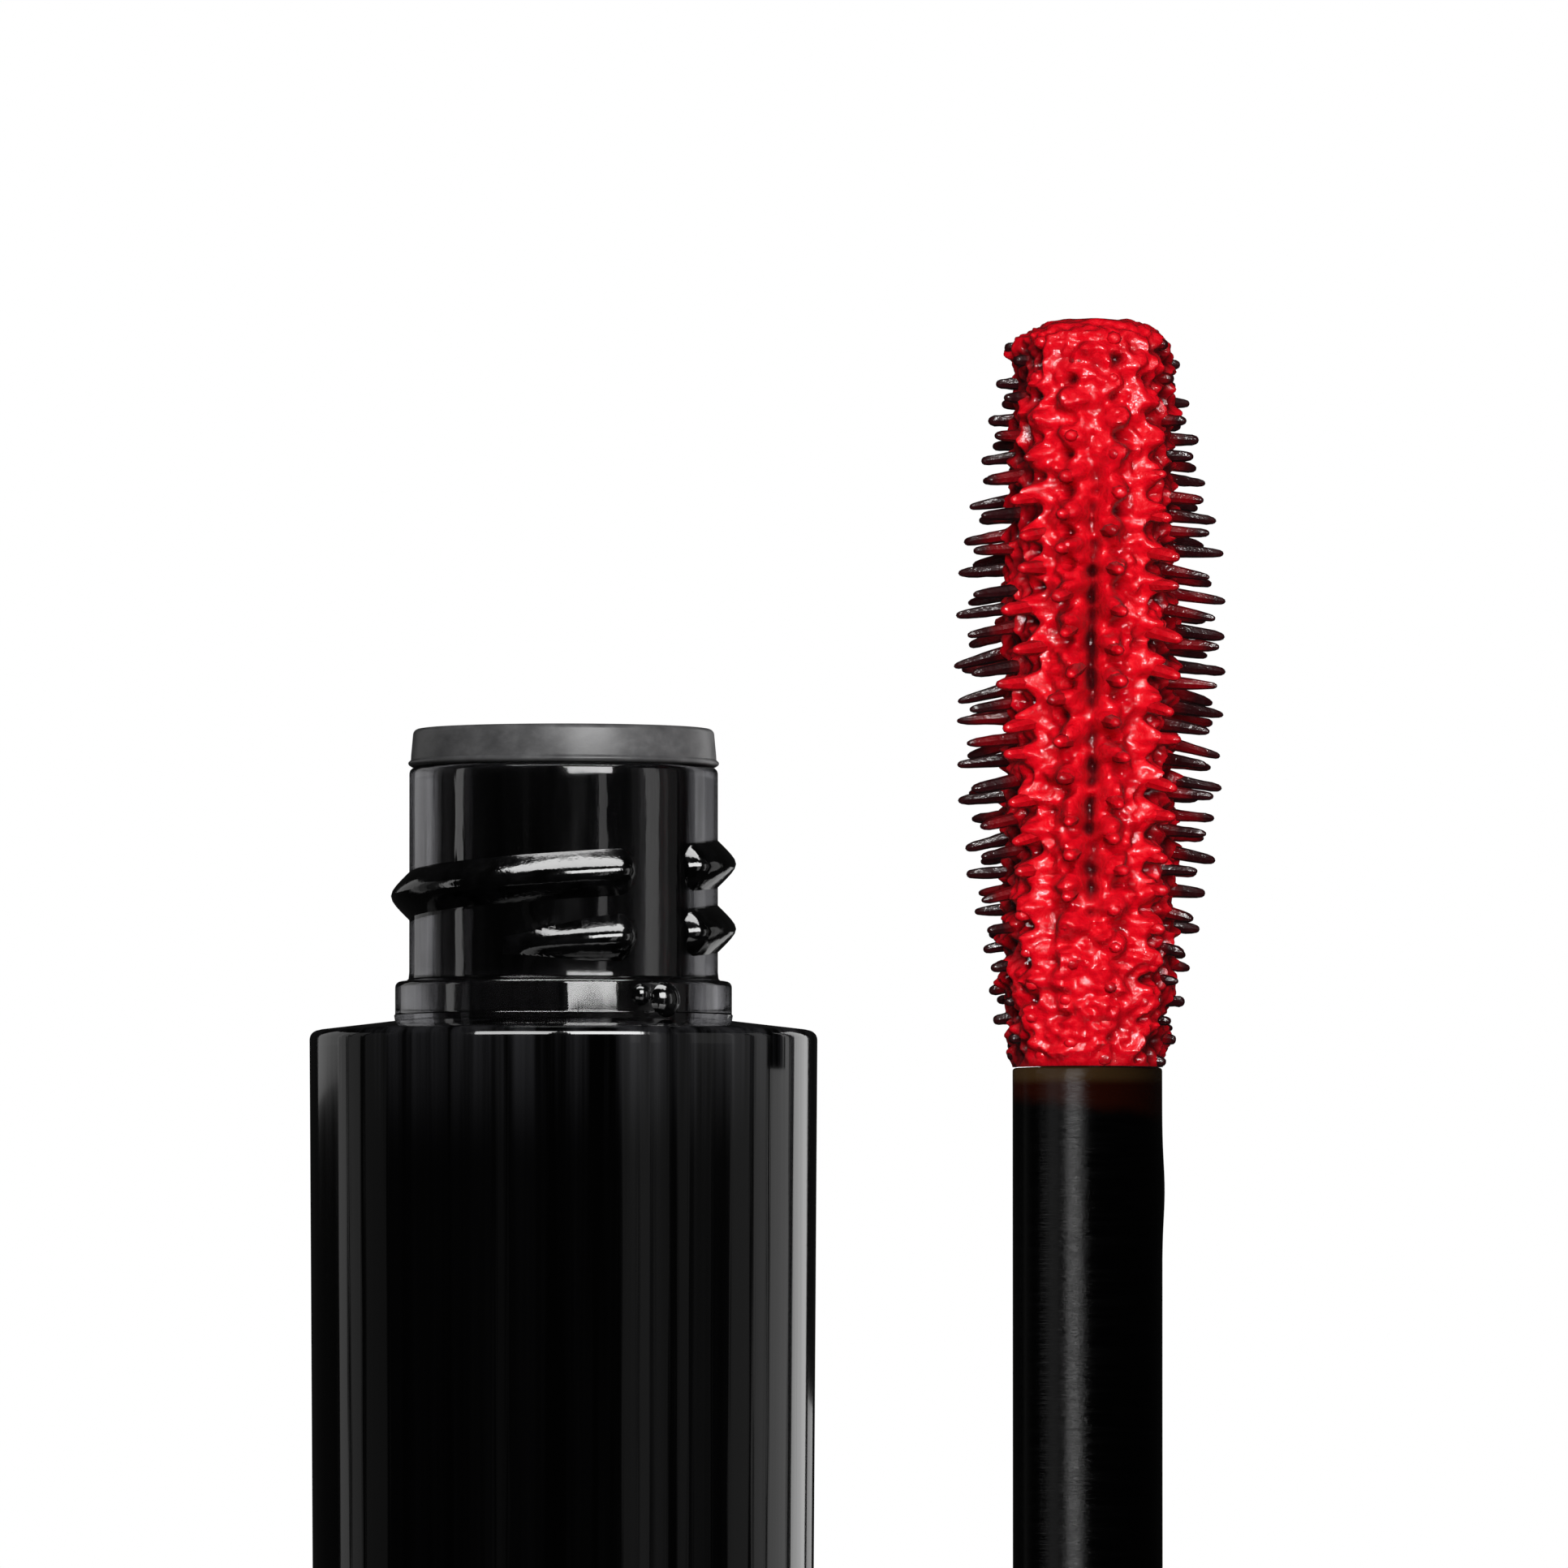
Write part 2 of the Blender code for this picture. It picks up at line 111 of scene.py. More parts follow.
class MascaraSizes(bpy.types.PropertyGroup):
    """Sizes that can change within the room that the CAD pieces leave."""

    edge_radius: FloatProperty(
        name="Edge radius", description="Round on the bottle's shoulder edge",
        default=0.35 * MM, unit="LENGTH", subtype="DISTANCE",
    )
    thread_lead: FloatProperty(
        name="Thread lead", description="Climb of the neck's thread in one turn",
        default=2.43 * MM, unit="LENGTH", subtype="DISTANCE",
    )
    thread_width: FloatProperty(
        name="Thread width", description="Width of the neck's ridge at its foot",
        default=1.75 * MM, unit="LENGTH", subtype="DISTANCE",
    )
    bristle_pitch: FloatProperty(
        name="Bristle pitch", description="Distance between bristles in one column",
        default=1.4 * MM, unit="LENGTH", subtype="DISTANCE",
    )
    bristle_columns: IntProperty(
        name="Bristle columns", description="Columns of bristles round the brush", default=14,
    )
    coat_radius: FloatProperty(
        name="Coat radius", description="Radius of the formula's skin between the bristles",
        default=2.72 * MM, unit="LENGTH", subtype="DISTANCE",
    )
    brush_lean: FloatProperty(
        name="Brush lean", description="How far the brush leans off the stem's axis",
        default=math.radians(0.45), unit="ROTATION", subtype="ANGLE",
    )
    seed: IntProperty(name="Seed", description="Seed of the bristles' scatter", default=7)


class MascaraColours(bpy.types.PropertyGroup):
    """Colours as sRGB hex values."""

    # Painted light: a lighter colour painted into the wall under the shoulder, as a glow
    painted_shoulder_glow: StringProperty(
        name="Painted shoulder glow", description="Light painted into the solid wall under the shoulder",
        default="#262628",
    )
    neck: StringProperty(
        name="Smoked neck", description="Tint of the clear plastic of the neck", default="#707073",
    )
    rim: StringProperty(
        name="Wiper", description="Colour of the soft wiper", default="#5E5E5F",
    )
    formula: StringProperty(
        name="Formula", description="Colour of the red formula where it is thick",
        default="#E4051C",
    )
    # Painted shade: a dark red that the formula is painted in its pits and hollows
    painted_pit_shade: StringProperty(
        name="Painted shade in hollows", description="Dark red painted as shade into the formula's pits",
        default="#440005",
    )
    bristle: StringProperty(
        name="Bristle", description="Colour of a bare bristle", default="#2A070B",
    )
    stem: StringProperty(name="Stem", description="Colour of the stem", default="#040405")


def sizes():
    """The sizes held by the scene."""
    return bpy.context.scene.mascara_sizes


def colours():
    """The colours held by the scene."""
    return bpy.context.scene.mascara_colours


# Meshes


def linear(value):
    """An sRGB hex value as linear red, green, blue and alpha."""
    parts = [int(value[at : at + 2], 16) / 255 for at in (1, 3, 5)]
    return (*(p / 12.92 if p <= 0.04045 else ((p + 0.055) / 1.055) ** 2.4 for p in parts), 1.0)


def piece(name, work, body, slot, *nodes, x=0.0):
    """Turns a bmesh into a smooth-shaded piece that rides on a body and replaces CAD nodes."""
    bmesh.ops.recalc_face_normals(work, faces=work.faces)
    mesh = bpy.data.meshes.new(name)
    bmesh.ops.translate(work, verts=work.verts, vec=(x, 0.0, 0.0))
    work.to_mesh(mesh)
    work.free()
    mesh.shade_smooth()
    mesh.set_sharp_from_angle(angle=SHARP)
    made = bpy.data.objects.new(name, mesh)
    bpy.context.scene.collection.objects.link(made)
    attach(made, body)
    if nodes:
        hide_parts(*nodes)
    return made


def turn(work, outline, sides=FINE_SIDES, closed=True):
    """Turns an outline of (radius, height) points about the Z axis into a bmesh."""
    points = [work.verts.new((radius, 0.0, height)) for radius, height in outline]
    pairs = list(zip(points, points[1:]))
    if closed:
        pairs.append((points[-1], points[0]))
    edges = [work.edges.new(pair) for pair in pairs]
    bmesh.ops.spin(
        work, geom=[*points, *edges], cent=(0, 0, 0), axis=(0, 0, 1),
        angle=2 * math.pi, steps=sides, use_merge=True,
    )
    bmesh.ops.remove_doubles(work, verts=work.verts, dist=0.001 * MM)


def arc(centre_r, centre_z, radius, start_deg, end_deg, points=6):
    """Points of a round corner in an outline."""
    made = []
    for at in range(points):
        angle = math.radians(start_deg + (end_deg - start_deg) * at / (points - 1))
        made.append((centre_r + radius * math.cos(angle), centre_z + radius * math.sin(angle)))
    return made


def straight(first, last, points):
    """Points of a straight side, so that a long wall has even faces."""
    return [
        tuple(a + (b - a) * at / (points - 1) for a, b in zip(first, last)) for at in range(points)
    ]


def smoothstep(low, high, value):
    """0 below low, 1 above high and a soft climb between."""
    share = min(1.0, max(0.0, (value - low) / (high - low)))
    return share * share * (3 - 2 * share)


def sweep_ridge(work, wall_r, height, width, runs, lead, start_z, sign=1.0, sink=0.3 * MM):
    """Thread ridges on a wall: rounded triangles swept along a helix.

    runs are (start, end, lead-in) in degrees. A lead-in thins the ridge over that angle. sign is
    -1 for a ridge that stands inwards.
    """
    across = 11  # points across the ridge
    round_off = 0.12  # how blunt its crest is
    thin = 0.35  # share of its width that is left at a faded end
    fade = (-3, 5)  # degrees over which a blunt end rises
    full_crest = math.sqrt(1 + round_off) - math.sqrt(round_off)
    for start, end, lead_in in runs:
        steps = max(4, round((end - start) / 2.5))
        rows = []
        for at in range(steps + 1):
            angle = start + (end - start) * at / steps
            rise = (-6, lead_in) if lead_in else fade
            size = min(smoothstep(*rise, angle - start), smoothstep(*fade, end - angle))
            middle = start_z + lead * angle / 360
            spin = Matrix.Rotation(math.radians(angle), 3, "Z")
            row = []
            for number in range(across):
                u = 2 * number / (across - 1) - 1
                crest = (math.sqrt(1 + round_off) - math.sqrt(u * u + round_off)) / full_crest
                reach = wall_r + sign * height * size * crest
                breadth = thin + (1 - thin) * size
                spot = Vector((reach, 0.0, middle + u * width / 2 * breadth))
                row.append(work.verts.new(spin @ spot))
            foot = wall_r - sign * sink
            row.append(work.verts.new(spin @ Vector((foot, 0.0, row[-1].co.z))))
            row.append(work.verts.new(spin @ Vector((foot, 0.0, row[0].co.z))))
            rows.append(row)
        for first, second in zip(rows, rows[1:]):
            for a, b in zip(range(len(first)), [*range(1, len(first)), 0]):
                work.faces.new((first[a], first[b], second[b], second[a]))
        work.faces.new(rows[0])
        work.faces.new(reversed(rows[-1]))


def joined(target, tool):
    """Joins a tool object to a piece with an exact Boolean and keeps the result as its mesh."""
    change = target.modifiers.new("Join", "BOOLEAN")
    change.operation = "UNION"
    change.solver = "EXACT"
    change.material_mode = "TRANSFER"
    change.object = tool
    graph = bpy.context.evaluated_depsgraph_get()
    mesh = bpy.data.meshes.new_from_object(target.evaluated_get(graph))
    target.modifiers.clear()
    old = target.data
    target.data = mesh
    mesh.name = old.name
    bpy.data.meshes.remove(old)
    bpy.data.objects.remove(tool, do_unlink=True)
    mesh.shade_smooth()
    mesh.set_sharp_from_angle(angle=SHARP)


def tool_object(work, finish=None):
    """An object for a Boolean, which brings its own finish if it has one."""
    bmesh.ops.recalc_face_normals(work, faces=work.faces)
    mesh = bpy.data.meshes.new("tool")
    work.to_mesh(mesh)
    work.free()
    if finish is not None:
        mesh.materials.append(finish)
    made = bpy.data.objects.new("tool", mesh)
    bpy.context.scene.collection.objects.link(made)
    return made


# Materials


def add_node(tree, kind, settings=None, values=None, links=None, stops=()):
    """Adds a node, sets its properties, inputs and ramp stops, and links outputs to its inputs."""
    made = tree.nodes.new(kind)
    for key, value in (settings or {}).items():
        setattr(made, key, value)
    for key, value in (values or {}).items():
        made.inputs[key].default_value = value
    for key, source in (links or {}).items():
        tree.links.new(source, made.inputs[key])
    for number, (place, colour) in enumerate(stops):
        band = made.color_ramp.elements
        stop = band[number] if number < len(band) else band.new(place)
        stop.position = place
        stop.color = colour
    return made


def patterned(name, values, grain, tints, hazes, relief, stretch=(1.0, 1.0, 1.0), detail=4.0):
    """A material whose colour, gloss and relief all follow one noise in the object's own metres.

    values are even ones for the shader's sockets. grain is the noise's size in metres and stretch
    multiplies how often it changes along each axis. tints are (place, hex colour) stops, hazes
    (place, roughness) stops, and relief is how far the noise raises the surface, in metres.
    """
    made = bpy.data.materials.new(name)
    made.use_nodes = True
    tree = made.node_tree
    shader = tree.nodes["Principled BSDF"]
    for key, value in values.items():
        shader.inputs[key].default_value = value
    place = add_node(tree, "ShaderNodeTexCoord")
    drawn_out = add_node(
        tree, "ShaderNodeMapping", values={"Scale": [share / grain for share in stretch]},
        links={"Vector": place.outputs["Object"]},
    )
    pattern = add_node(
        tree, "ShaderNodeTexNoise", values={"Scale": 1.0, "Detail": detail, "Roughness": 0.6},
        links={"Vector": drawn_out.outputs["Vector"]},
    )
    tint = add_node(
        tree, "ShaderNodeValToRGB", links={"Fac": pattern.outputs["Fac"]},
        stops=[(at, linear(colour)) for at, colour in tints],
    )
    haze = add_node(
        tree, "ShaderNodeValToRGB", links={"Fac": pattern.outputs["Fac"]},
        stops=[(at, grey(roughness)) for at, roughness in hazes],
    )
    bump = add_node(
        tree, "ShaderNodeBump", values={"Distance": relief},
        links={"Height": pattern.outputs["Fac"]},
    )
    tree.links.new(tint.outputs["Color"], shader.inputs["Base Color"])
    tree.links.new(haze.outputs["Color"], shader.inputs["Roughness"])
    tree.links.new(bump.outputs["Normal"], shader.inputs["Normal"])
    nodes = {"shader": shader, "place": place, "pattern": pattern, "tint": tint, "bump": bump}
    return made, tree, nodes


def grey(value):
    """A grey as a colour."""
    return (value, value, value, 1.0)


def smoked_body():
    """PETG, smoke tinted, moulded thick and polished: black and mirror-like, with long soft
    streaks where the wall's thickness wanders, and a faint glow of painted light under the solid
    shoulder."""
    made, tree, nodes = patterned(
        "PETG smoke tinted, polished", {"IOR": 1.57, "Coat Weight": 0.3, "Coat Roughness": 0.03},
        grain=1.5 * MM, stretch=(1.0, 1.0, 0.012),
        tints=[(0.45, "#000000"), (0.8, "#070708")], hazes=[(0.3, 0.04), (0.75, 0.11)],
        relief=0.02 * MM,
    )
    axes = add_node(
        tree, "ShaderNodeSeparateXYZ", links={"Vector": nodes["place"].outputs["Object"]}
    )
    near_top = add_node(
        tree, "ShaderNodeMapRange", {"interpolation_type": "SMOOTHERSTEP"},
        {"From Min": SHELL_HIGH.z - 6.0 * MM, "From Max": SHELL_HIGH.z + 0.8 * MM},
        {"Value": axes.outputs["Z"]},
    )
    banded = add_node(
        tree, "ShaderNodeMapRange", {"interpolation_type": "SMOOTHSTEP"},
        {"From Min": 0.44, "From Max": 0.64}, {"Value": nodes["pattern"].outputs["Fac"]},
    )
    # Painted light: near the top, in the pattern's bands, the wall is painted lighter as a glow
    glow = add_node(
        tree, "ShaderNodeMath", {"operation": "MULTIPLY"},
        links={0: near_top.outputs["Result"], 1: banded.outputs["Result"]},
    )
    painted_glow_colour = linear(colours().painted_shoulder_glow)
    mixed = add_node(
        tree, "ShaderNodeMix", {"data_type": "RGBA"}, {"B": painted_glow_colour},
        {"Factor": glow.outputs["Value"], "A": nodes["tint"].outputs["Color"]},
    )
    tree.links.new(mixed.outputs["Result"], nodes["shader"].inputs["Base Color"])
    return made


def smoked_neck():
    """PETG, smoke tinted, moulded thin and clear: grey where light runs along the wall, near
    black over what it covers, with upright flow lines."""
    return patterned(
        "PETG smoke tinted, clear moulded", {"IOR": 1.5, "Transmission Weight": 0.99},
        grain=1.1 * MM, stretch=(1.0, 1.0, 0.12),
        tints=[(0.3, "#38383A"), (0.65, colours().neck)], hazes=[(0.35, 0.03), (0.7, 0.14)],
        relief=0.009 * MM,
    )[0]


def smoked_thick():
    """PETG, smoke tinted, where it is moulded thick, as in a ridge: the tint adds up to black."""
    return patterned(
        "PETG smoke tinted, thick moulded",
        {"IOR": 1.5, "Coat Weight": 0.4, "Coat Roughness": 0.03},
        grain=0.9 * MM, tints=[(0.4, "#020202"), (0.7, "#0B0B0C")],
        hazes=[(0.35, 0.06), (0.7, 0.16)], relief=0.03 * MM,
    )[0]


def satin_wiper():
    """LDPE, moulded satin: grey with cloudy scuffs at the rim, and painted shade below it,
    where the sleeve inside the neck is painted near black."""
    made, tree, nodes = patterned(
        "LDPE moulded satin", {"IOR": 1.51},
        grain=1.1 * MM, stretch=(1.0, 1.0, 1.6), detail=5.0,
        tints=[(0.3, "#4F4F50"), (0.5, colours().rim), (0.75, "#747475")],
        hazes=[(0.3, 0.3), (0.7, 0.44)], relief=0.012 * MM,
    )
    axes = add_node(
        tree, "ShaderNodeSeparateXYZ", links={"Vector": nodes["place"].outputs["Object"]}
    )
    rim = add_node(
        tree, "ShaderNodeMapRange", {"interpolation_type": "SMOOTHSTEP"},
        {"From Min": RIM_TOP_Z - 1.7 * MM, "From Max": RIM_TOP_Z - 1.35 * MM},
        {"Value": axes.outputs["Z"]},
    )
    # Painted shade: below the rim the sleeve, inside the neck, is painted near black
    mixed = add_node(
        tree, "ShaderNodeMix", {"data_type": "RGBA"}, {"A": linear("#030303")},
        {"Factor": rim.outputs["Result"], "B": nodes["tint"].outputs["Color"]},
    )
    tree.links.new(mixed.outputs["Result"], nodes["shader"].inputs["Base Color"])
    return made


def wet_formula(name="Pigmented wax emulsion, wet", film=True):
    """Red wax emulsion, wet: opaque bright red where thick, deep red painted as shade in its pits
    and on the side bristles, with a fine pebbled skin that breaks highlights into dots. A bare
    bristle shows dark through it."""
    made, tree, nodes = patterned(
        name,
        {"IOR": 1.46, "Coat Weight": 1.0, "Coat Roughness": 0.06, "Subsurface Weight": 0.06,
         "Subsurface Scale": 0.4 * MM, "Subsurface Radius": (1.0, 0.12, 0.08)},
        grain=0.3 * MM, tints=[(0.3, "#D20014"), (0.65, colours().formula)],
        hazes=[(0.3, 0.3), (0.7, 0.5)], relief=0.06 * MM,
    )
    tree.links.new(nodes["bump"].outputs["Normal"], nodes["shader"].inputs["Coat Normal"])
    if film:
        painted = add_node(tree, "ShaderNodeAttribute", {"attribute_name": "film"})
        parts = add_node(
            tree, "ShaderNodeSeparateColor", links={"Color": painted.outputs["Color"]}
        )
        # Painted shade: where the film attribute's red channel is low, the formula is painted the
        # dark red of its pits
        depth = add_node(
            tree, "ShaderNodeMix", {"data_type": "RGBA"}, {"A": linear(colours().painted_pit_shade)},
            {"Factor": parts.outputs["Red"], "B": nodes["tint"].outputs["Color"]},
        )
        mixed = add_node(
            tree, "ShaderNodeMix", {"data_type": "RGBA"}, {"A": linear(colours().bristle)},
            {"Factor": parts.outputs["Green"], "B": depth.outputs["Result"]},
        )
        tree.links.new(mixed.outputs["Result"], nodes["shader"].inputs["Base Color"])
    return made


def drawn_stem():
    """Acetal, extruded and turned: satin black with fine rings and scuffs round it, formula
    smears, and a brown tint at its top end where the formula has stained it, with a painted
    highlight of paler brown along its top edge."""
    made, tree, nodes = patterned(
        "Acetal turned satin", {"IOR": 1.48},
        grain=2.0 * MM, stretch=(1.0, 1.0, 9.0), detail=6.0,
        tints=[(0.45, colours().stem), (0.75, "#0D0D0E")], hazes=[(0.35, 0.13), (0.7, 0.25)],
        relief=0.01 * MM,
    )
    place = nodes["place"].outputs["Object"]
    axes = add_node(tree, "ShaderNodeSeparateXYZ", links={"Vector": place})
    slope = 0.117  # the stain's lower edge slants down to the right
    slant = add_node(
        tree, "ShaderNodeMath", {"operation": "MULTIPLY_ADD"}, {1: slope},
        {0: axes.outputs["X"], 2: axes.outputs["Z"]},
    )
    rag = add_node(
        tree, "ShaderNodeTexNoise", values={"Scale": 1 / (0.8 * MM), "Detail": 4.0},
        links={"Vector": place},
    )
    ragged = add_node(
        tree, "ShaderNodeMath", {"operation": "MULTIPLY_ADD"}, {1: 0.4 * MM},
        {0: rag.outputs["Fac"], 2: slant.outputs["Value"]},
    )
    top = BRUSH_BASE_Z + slope * WAND_X
    stained = add_node(
        tree, "ShaderNodeMapRange", {"interpolation_type": "SMOOTHSTEP"},
        {"From Min": top - 1.65 * MM, "From Max": top - 0.95 * MM},
        {"Value": ragged.outputs["Value"]},
    )
    # Painted highlight: lit turns the stain a paler brown along the stem's top edge
    lit = add_node(
        tree, "ShaderNodeMapRange", {"interpolation_type": "SMOOTHSTEP"},
        {"From Min": BRUSH_BASE_Z - 0.75 * MM, "From Max": BRUSH_BASE_Z - 0.35 * MM},
        {"Value": axes.outputs["Z"]},
    )
    stain_and_highlight = add_node(
        tree, "ShaderNodeMix", {"data_type": "RGBA"},
        {"A": linear("#4A190B"), "B": linear("#735532")}, {"Factor": lit.outputs["Result"]},
    )
    mixed = add_node(
        tree, "ShaderNodeMix", {"data_type": "RGBA"},
        links={"Factor": stained.outputs["Result"], "A": nodes["tint"].outputs["Color"],
               "B": stain_and_highlight.outputs["Result"]},
    )
    tree.links.new(mixed.outputs["Result"], nodes["shader"].inputs["Base Color"])
    ring_grain = 0.9 * MM
    flat_rings = add_node(
        tree, "ShaderNodeMapping",
        values={"Scale": [share / ring_grain for share in (0.25, 0.25, 9)]},
        links={"Vector": place},
    )
    rings = add_node(
        tree, "ShaderNodeTexNoise", values={"Scale": 1.0, "Detail": 5.0, "Roughness": 0.7},
        links={"Vector": flat_rings.outputs["Vector"]},
    )
    ringed = add_node(
        tree, "ShaderNodeBump", values={"Distance": 0.016 * MM},
        links={"Height": rings.outputs["Fac"], "Normal": nodes["bump"].outputs["Normal"]},
    )
    tree.links.new(ringed.outputs["Normal"], nodes["shader"].inputs["Normal"])
    return made


def polished_cap():
    """ABS, moulded and polished: deep black with a faint haze from handling."""
    return patterned(
        "ABS moulded polished", {"IOR": 1.53, "Coat Weight": 0.3, "Coat Roughness": 0.04},
        grain=6 * MM, stretch=(1.0, 1.0, 0.6), detail=5.0,
        tints=[(0.4, "#050506"), (0.75, "#101011")], hazes=[(0.4, 0.07), (0.7, 0.17)],
        relief=0.004 * MM,
    )[0]


def moulded_polypropylene(name, low, high, roughness, grain):
    """Polypropylene, moulded: a little waxy, with the fine texture of its tool."""
    return patterned(
        name, {"IOR": 1.49, "Subsurface Weight": 0.15, "Subsurface Scale": 0.5 * MM},
        grain=grain, tints=[(0.35, low), (0.7, high)],
        hazes=[(0.3, roughness - 0.05), (0.7, roughness + 0.05)], relief=0.01 * MM,
    )[0]


def tooled_steel(name, colour, stretch):
    """Steel, turned or drawn: grey metal with fine tool lines round it or along it."""
    return patterned(
        name, {"Metallic": 1.0}, grain=0.4 * MM, stretch=stretch,
        tints=[(0.3, "#8A8A8C"), (0.7, colour)], hazes=[(0.3, 0.22), (0.7, 0.38)],
        relief=0.004 * MM,
    )[0]


def finish_node(name, made):
    """Gives a CAD node a material."""
    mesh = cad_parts[name].data
    mesh.materials.clear()
    mesh.materials.append(made)


# The brush. Its heights are above its base

WAIST_TIP_R = 3.0 * MM
BARREL_TIP_R = 5.2 * MM
NOSE_TIP_R = 3.05 * MM
BARREL_HEIGHT = 15.4 * MM
TIPS_TOP = 27.5 * MM
COAT_TOP = 26.7 * MM  # where the coat's sides end and its round nose starts
ROOT_R = 2.2 * MM  # where the bristles leave the core
ROUND_R = 3.9 * MM  # where widths round the brush are measured


def tip_radius(height):
    """Radius of the bristles' tips at a height: a long barrel that narrows to a waist at the
    stem and to a round nose."""
    if height < BARREL_HEIGHT:
        share = math.sin(height / BARREL_HEIGHT * math.pi / 2) ** 0.85
        return WAIST_TIP_R + (BARREL_TIP_R - WAIST_TIP_R) * share
    share = ((height - BARREL_HEIGHT) / (TIPS_TOP - BARREL_HEIGHT)) ** 1.75
    return BARREL_TIP_R - (BARREL_TIP_R - NOSE_TIP_R) * share


class Bristle:
    """One bristle: where it grows from, which way it points and how far the formula climbs."""

    def __init__(self, column, row, draw):
        own = sizes()
        turn = FRONT + 2 * math.pi * (column + 0.5) / own.bristle_columns
        facing = abs(math.sin(turn))  # 1 at the front and the back, 0 at the two sides
        self.facing = smoothstep(0.4, 0.9, facing)
        self.turn = turn + draw.uniform(-0.045, 0.045)
        nearer_face = math.copysign(math.pi / 2, math.sin(turn))
        self.inward = math.copysign(1, angle_gap(nearer_face, turn))
        self.height = first_height(column) + own.bristle_pitch * row
        self.height += draw.uniform(-0.1, 0.1) * MM
        self.reach = tip_radius(self.height) + draw.uniform(-0.18, 0.1) * MM
        self.coverage = 0.5 + 0.75 * smoothstep(0.3, 0.85, facing) + draw.uniform(-0.3, 0.3)
        low = smoothstep(28.0 * MM, 18 * MM, self.height)
        self.droop = math.radians(draw.uniform(3, 15)) * low
        self.side = math.radians(draw.uniform(-6, 6))
        self.width = draw.uniform(0.36, 0.43) * MM
        self.tip = draw.uniform(0.17, 0.22) * MM
        self.fat = 1.0 + 0.3 * smoothstep(0.45, 0.9, facing)
        self.depth = draw.uniform(0.3, 1.0)


def first_height(column):
    """Height of a column's first bristle. Every second column starts half a pitch higher."""
    return 0.45 * MM + sizes().bristle_pitch * 0.5 * (column % 2)


def bristles():
    """Every bristle of the brush, with a fixed seed."""
    own = sizes()
    draw = random.Random(own.seed)
    made = []
    last_height = TIPS_TOP - 0.3 * MM
    for column in range(own.bristle_columns):
        row = 0
        while first_height(column) + own.bristle_pitch * row < last_height:
            made.append(Bristle(column, row, draw))
            row += 1
    return made


def angle_gap(first, second):
    """The signed gap between two angles."""
    return (first - second + math.pi) % (2 * math.pi) - math.pi


def lean(point):
    """Leans a point of the brush off the stem's axis, from the brush's base up."""
    up = max(0.0, point.z - BRUSH_BASE_Z)
    tilt = math.tan(sizes().brush_lean)
    return Vector((point.x + up * tilt, point.y, point.z))


def skin_radius(height):
    """Radius of the formula between the bristles: it fills the gaps near both ends."""
    barrel = 0.3 * MM * smoothstep(3.0, 4.8, tip_radius(height) / MM)
    low_fill = 0.25 * MM * math.exp(-(((height - 3.8 * MM) / (2.4 * MM)) ** 2))
    nose = 0.12 * MM * smoothstep(23.4 * MM, 26.4 * MM, height)
    return sizes().coat_radius + barrel + low_fill + nose


def groove(turn, height):
    """Depth of the long groove where the two front columns part, and the two at the back. It
    wanders in depth and fades before both ends."""
    middle = (turn - FRONT + math.pi / 2) % math.pi - math.pi / 2
    length = smoothstep(4.6 * MM, 7.0 * MM, height) * smoothstep(23.0 * MM, 19.0 * MM, height)
    wander = 1 + 0.8 * noise.noise(Vector((0.0, 0.5, height / (1.3 * MM))))
    half_width = 0.36 * MM
    return 0.5 * MM * wander * length * math.exp(-((middle * ROUND_R / half_width) ** 2))


def webs(turn, height):
    """Height of the low ridges that join the bristles of each column."""
    half_width = 0.55 * MM
    ends = smoothstep(27.0 * MM, 24.0 * MM, height)
    step = 2 * math.pi / sizes().bristle_columns
    column = math.floor((turn - FRONT) / step)
    stand = 0.0
    for number in (column - 1, column, column + 1):
        centre = FRONT + step * (number + 0.5)
        across = angle_gap(turn, centre) * ROUND_R
        facing = smoothstep(0.5, 0.97, abs(math.sin(centre)))
        stand += (0.1 + 0.3 * facing) * MM * ends * math.exp(-((across / half_width) ** 2))
    return stand


def coat_height(turn, height, near):
    """How far the formula stands over its skin at an angle and a height.

    It is thick at the front and the back, where it was laid on, and thin at the sides. It climbs
    every bristle, wider on its inner side, and leaves a pit below it. near holds the bristles
    close by.
    """
    stand = 0.35 * MM * smoothstep(0.45, 0.92, abs(math.sin(turn)))
    stand += webs(turn, height) - groove(turn, height)
    for item in near:
        across = angle_gap(turn, item.turn) * ROUND_R
        along = height - item.height + 0.1 * MM
        wide = 0.5 * MM if across * item.inward > 0 else 0.34 * MM
        hill = math.exp(-((across / wide) ** 2) - (along / (0.3 * MM)) ** 2)
        stand += (0.12 + 0.6 * item.facing * min(1.0, item.coverage)) * MM * hill
        below = along + 0.68 * MM
        aside = across + 0.1 * MM * item.inward
        pit = math.exp(-((aside / (0.34 * MM)) ** 2) - (below / (0.25 * MM)) ** 2)
        stand -= (0.2 + 0.55 * item.depth) * MM * pit
    return stand


def lump(spot):
    """Uneven pebbles of about 1.2, 0.6 and 0.35 mm at a place given in millimetres."""
    sizes_and_heights = ((0.8, 0.25), (1.7, 0.3), (2.9, 0.28))
    return sum(high * noise.noise(spot * often) for often, high in sizes_and_heights)


